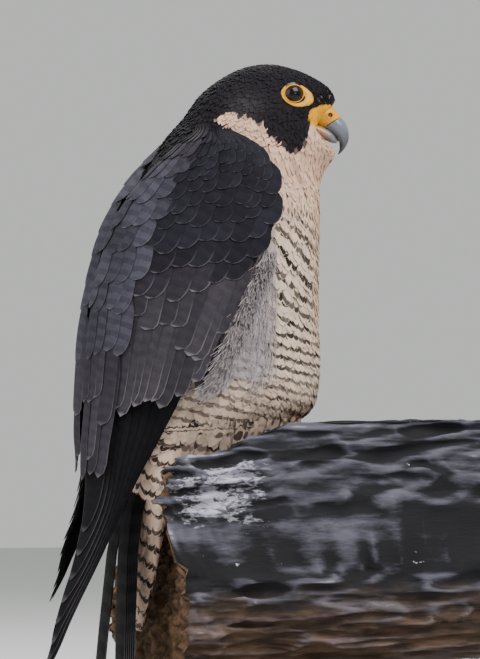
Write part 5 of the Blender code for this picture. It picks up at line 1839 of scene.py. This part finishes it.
def log_material():
    """Dark grey wood with paler ridges, splashes of white above the near side, brown inside."""
    n = Nodes("weathered_log")
    c = bpy.context.scene.falcon_stand
    stretched = n.place((0.22, 1, 1))
    grain = n.noise(stretched, 160.0, 6.0, 0.62)
    fine = n.noise(stretched, 700.0, 4.0, 0.6)
    ridge = n.attribute("ridge", "Fac")
    light = n.plus(n.times(grain, 0.6), n.times(ridge, 0.5))
    light = n.plus(light, n.times(fine, 0.25))
    dark = n.mix(n.between(light, 0.45, 0.85), shade(c.wood, 0.20), shade(c.wood, 2.0))
    dark = n.mix(n.between(light, 0.84, 0.98), dark, (0.30, 0.29, 0.33))
    x, y, z = n.split(n.place((1000, 1000, 1000)))
    spread = n.noise(n.place((0.5, 1, 1)), 70.0, 5.0, 0.65)
    spots = n.noise(n.place((0.8, 1, 1)), 75.0, 4.0, 0.62)
    ahead = n.maths("ABSOLUTE", n.minus(x, -62.0))
    under = n.maths("ABSOLUTE", n.minus(z, 161.0))
    patch = n.minus(1.0, n.maths("DIVIDE", ahead, 44.0))
    patch = n.maths("MINIMUM", patch, n.minus(1.0, n.maths("DIVIDE", under, 26.0)))
    near = n.between(y, -40.0, -52.0)
    amount = n.plus(n.times(n.maths("MAXIMUM", patch, -0.3), 0.42), spread)
    torn = n.noise(n.place((0.35, 1, 1)), 520.0, 4.0, 0.75)
    amount = n.plus(amount, n.times(n.minus(torn, 0.5), 0.55))
    splash = n.times(n.between(amount, 0.68, 0.80), near)
    splash = n.times(splash, n.plus(n.times(ridge, 0.5), 0.5))
    loose = n.times(n.between(spots, 0.69, 0.73), n.between(z, 60.0, 120.0))
    ground = n.mix(n.maths("MAXIMUM", splash, loose), dark, tuple(c.pale))
    brown = n.mix(n.between(grain, 0.35, 0.7), shade(c.broken, 0.35), shade(c.broken, 1.5))
    level = n.plus(z, n.times(spread, 40.0))
    low = n.times(n.between(level, 128.0, 96.0), 0.55)
    ground = n.mix(low, ground, brown)
    ground = n.mix(n.attribute("broken", "Fac"), ground, brown)
    n.bump(n.plus(grain, n.times(fine, 0.5)), 0.6, 0.0012)
    return n.finish(ground, 0.86, specular_ior_level=0.25)


def stand():
    """Finishes of the base and rods, which keep their own solids."""
    c = bpy.context.scene.falcon_stand
    n = Nodes("base_wood")
    grain = n.noise(n.place((0.12, 1, 1)), 220.0, 5.0, 0.6)
    wood = n.mix(n.between(grain, 0.3, 0.75), shade(c.base, 0.6), shade(c.base, 1.5))
    n.bump(grain, 0.12, 0.0004)
    base = n.finish(wood, 0.38, coat_weight=0.2, coat_roughness=0.25)
    n = Nodes("rod_steel")
    brushed = n.noise(n.place((1, 1, 0.05)), 1500.0, 3.0)
    n.bump(brushed, 0.1, 0.0001)
    steel = n.finish(None, 0.32, metallic=1.0)
    n.shader.inputs["Base Color"].default_value = (0.55, 0.55, 0.56, 1)
    finishes = {"stand_base": base, "stand_rod_front": steel, "stand_rod_rear": steel}
    for node, material in finishes.items():
        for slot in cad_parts[node].material_slots:
            slot.material = material


def direction(azimuth, rise):
    """The unit vector towards an azimuth, 0 at -Y and growing towards +X, and a rise."""
    a, e = math.radians(azimuth), math.radians(rise)  # both are given in degrees
    return Vector((math.sin(a) * math.cos(e), -math.cos(a) * math.cos(e), math.sin(e)))


def facing(name, data, target, way, far):
    """A lamp or the camera at a distance from its target along a way, turned to face it."""
    obj = bpy.data.objects.new(name, data)
    obj.location = target + way * far
    obj.rotation_euler = way.to_track_quat("Z", "Y").to_euler()
    bpy.context.scene.collection.objects.link(obj)
    return obj


def stage():
    """Plain pale floor, pale surroundings, soft lights and the camera."""
    sizes = bpy.context.scene.falcon_stage
    c = bpy.context.scene.falcon_stand
    signs = ((-1, -1), (1, -1), (1, 1), (-1, 1))
    corners = [(x * FLOOR_REACH, y * FLOOR_REACH, 0) for x, y in signs]
    mesh = bpy.data.meshes.new("floor")
    mesh.from_pydata(corners, [], [(0, 1, 2, 3)])
    floor = bpy.data.objects.new("floor", mesh)
    bpy.context.scene.collection.objects.link(floor)
    n = Nodes("floor")
    n.shader.inputs["Base Color"].default_value = (*c.floor, 1)
    mesh.materials.append(n.finish(None, 0.9, specular_ior_level=0.1))
    world = bpy.data.worlds.new("studio")
    bpy.context.scene.world = world
    world.use_nodes = True
    background = world.node_tree.nodes["Background"]
    background.inputs["Color"].default_value = (0.80, 0.83, 0.80, 1)
    background.inputs["Strength"].default_value = 0.75
    target = Vector(place((0, 0, LIGHT_AIM)))
    for name, azimuth, rise, far, wide in LIGHTS:
        light = bpy.data.lights.new(name, "AREA")
        light.energy = getattr(sizes, name)
        light.size = wide
        facing(name, light, target, direction(VIEW_AZIMUTH + azimuth, rise), far)
    sideways, height = VIEW_AIM
    aim = Vector(place((0, 0, height))) + direction(VIEW_AZIMUTH + 90, 0) * sideways * MM
    view = bpy.data.cameras.new("camera")
    view.sensor_fit = "VERTICAL"
    view.sensor_height = 36.0
    view.lens = view.sensor_height * sizes.distance / (VIEW_HEIGHT * MM)
    way = direction(VIEW_AZIMUTH, VIEW_RISE)
    bpy.context.scene.camera = facing("camera", view, aim, way, sizes.distance)


class FALCON_OT_under_skin(bpy.types.Operator):
    """Builds the skin under the coat."""

    bl_idname = "falcon.under_skin"
    bl_label = "Skin"

    def execute(self, context):
        under_skin()
        return {"FINISHED"}


class FALCON_OT_head(bpy.types.Operator):
    """Lays the small feathers of head and neck."""

    bl_idname = "falcon.head"
    bl_label = "Head feathers"

    def execute(self, context):
        head_and_neck()
        return {"FINISHED"}


class FALCON_OT_body(bpy.types.Operator):
    """Lays the feathers of the body."""

    bl_idname = "falcon.body"
    bl_label = "Body feathers"

    def execute(self, context):
        body_feathers()
        return {"FINISHED"}


class FALCON_OT_flanks(bpy.types.Operator):
    """Lays the loose strands of the flanks."""

    bl_idname = "falcon.flanks"
    bl_label = "Flank down"

    def execute(self, context):
        flank_down()
        return {"FINISHED"}


class FALCON_OT_thighs(bpy.types.Operator):
    """Lays the feathers of the legs."""

    bl_idname = "falcon.thighs"
    bl_label = "Thigh feathers"

    def execute(self, context):
        thigh_feathers()
        return {"FINISHED"}


class FALCON_OT_vent(bpy.types.Operator):
    """Lays the feathers that hang beside the feet."""

    bl_idname = "falcon.vent"
    bl_label = "Vent feathers"

    def execute(self, context):
        vent_feathers()
        return {"FINISHED"}


class FALCON_OT_wings(bpy.types.Operator):
    """Lays the rows of wing feathers."""

    bl_idname = "falcon.wings"
    bl_label = "Wing feathers"

    def execute(self, context):
        wing_feathers()
        return {"FINISHED"}


class FALCON_OT_tail(bpy.types.Operator):
    """Lays the long tail feathers."""

    bl_idname = "falcon.tail"
    bl_label = "Tail feathers"

    def execute(self, context):
        tail_feathers()
        return {"FINISHED"}


class FALCON_OT_eyes(bpy.types.Operator):
    """Builds the two eyes."""

    bl_idname = "falcon.eyes"
    bl_label = "Eyes"

    def execute(self, context):
        eyes()
        return {"FINISHED"}


class FALCON_OT_eye_rings(bpy.types.Operator):
    """Builds the bare skin round the eyes."""

    bl_idname = "falcon.eye_rings"
    bl_label = "Eye rings"

    def execute(self, context):
        eye_rings()
        return {"FINISHED"}


class FALCON_OT_bill(bpy.types.Operator):
    """Builds the cere and both mandibles."""

    bl_idname = "falcon.bill"
    bl_label = "Bill"

    def execute(self, context):
        bill()
        return {"FINISHED"}


class FALCON_OT_feet(bpy.types.Operator):
    """Builds toes, balls and shanks."""

    bl_idname = "falcon.feet"
    bl_label = "Feet"

    def execute(self, context):
        feet()
        return {"FINISHED"}


class FALCON_OT_claws(bpy.types.Operator):
    """Builds the eight claws."""

    bl_idname = "falcon.claws"
    bl_label = "Claws"

    def execute(self, context):
        claws()
        return {"FINISHED"}


class FALCON_OT_log(bpy.types.Operator):
    """Builds the weathered log."""

    bl_idname = "falcon.log"
    bl_label = "Log"

    def execute(self, context):
        log()
        return {"FINISHED"}


class FALCON_OT_stand(bpy.types.Operator):
    """Finishes the base and the rods."""

    bl_idname = "falcon.stand"
    bl_label = "Stand"

    def execute(self, context):
        stand()
        return {"FINISHED"}


class FALCON_OT_stage(bpy.types.Operator):
    """Adds floor, lights and camera."""

    bl_idname = "falcon.stage"
    bl_label = "Stage"

    def execute(self, context):
        stage()
        return {"FINISHED"}


OPERATORS = (
    FALCON_OT_under_skin,
    FALCON_OT_head,
    FALCON_OT_body,
    FALCON_OT_flanks,
    FALCON_OT_thighs,
    FALCON_OT_vent,
    FALCON_OT_wings,
    FALCON_OT_tail,
    FALCON_OT_eyes,
    FALCON_OT_eye_rings,
    FALCON_OT_bill,
    FALCON_OT_feet,
    FALCON_OT_claws,
    FALCON_OT_log,
    FALCON_OT_stand,
    FALCON_OT_stage,
)


class FALCON_PT_parts(bpy.types.Panel):
    """Lists the falcon's pieces in the sidebar."""

    bl_idname = "FALCON_PT_parts"
    bl_label = "Falcon"
    bl_space_type = "VIEW_3D"
    bl_region_type = "UI"
    bl_category = "Falcon"

    def draw(self, context):
        for step in OPERATORS:
            self.layout.operator(step.bl_idname)
        for key in GROUPS:
            box = self.layout.box()
            group = getattr(context.scene, key)
            for label in group.bl_rna.properties.keys():
                if label not in ("name", "rna_type"):
                    box.prop(group, label)


GROUPS = {
    "falcon_plumage": PlumageColours,
    "falcon_bare": BareColours,
    "falcon_coat": CoatSizes,
    "falcon_stand": StandColours,
    "falcon_stage": StageSizes,
}


def register():
    """Registers the groups of properties, the operators and the panel."""
    for group in GROUPS.values():
        bpy.utils.register_class(group)
    for key, group in GROUPS.items():
        setattr(bpy.types.Scene, key, bpy.props.PointerProperty(type=group))
    for step in OPERATORS:
        bpy.utils.register_class(step)
    bpy.utils.register_class(FALCON_PT_parts)


def unregister():
    """Takes everything that register added away again."""
    bpy.utils.unregister_class(FALCON_PT_parts)
    for step in reversed(OPERATORS):
        bpy.utils.unregister_class(step)
    for key, group in GROUPS.items():
        delattr(bpy.types.Scene, key)
        bpy.utils.unregister_class(group)


def main():
    """Builds every piece in order."""
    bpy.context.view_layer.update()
    register()
    for step in OPERATORS:
        getattr(bpy.ops.falcon, step.bl_idname.split(".")[1])()


if __name__ == "__main__":
    main()
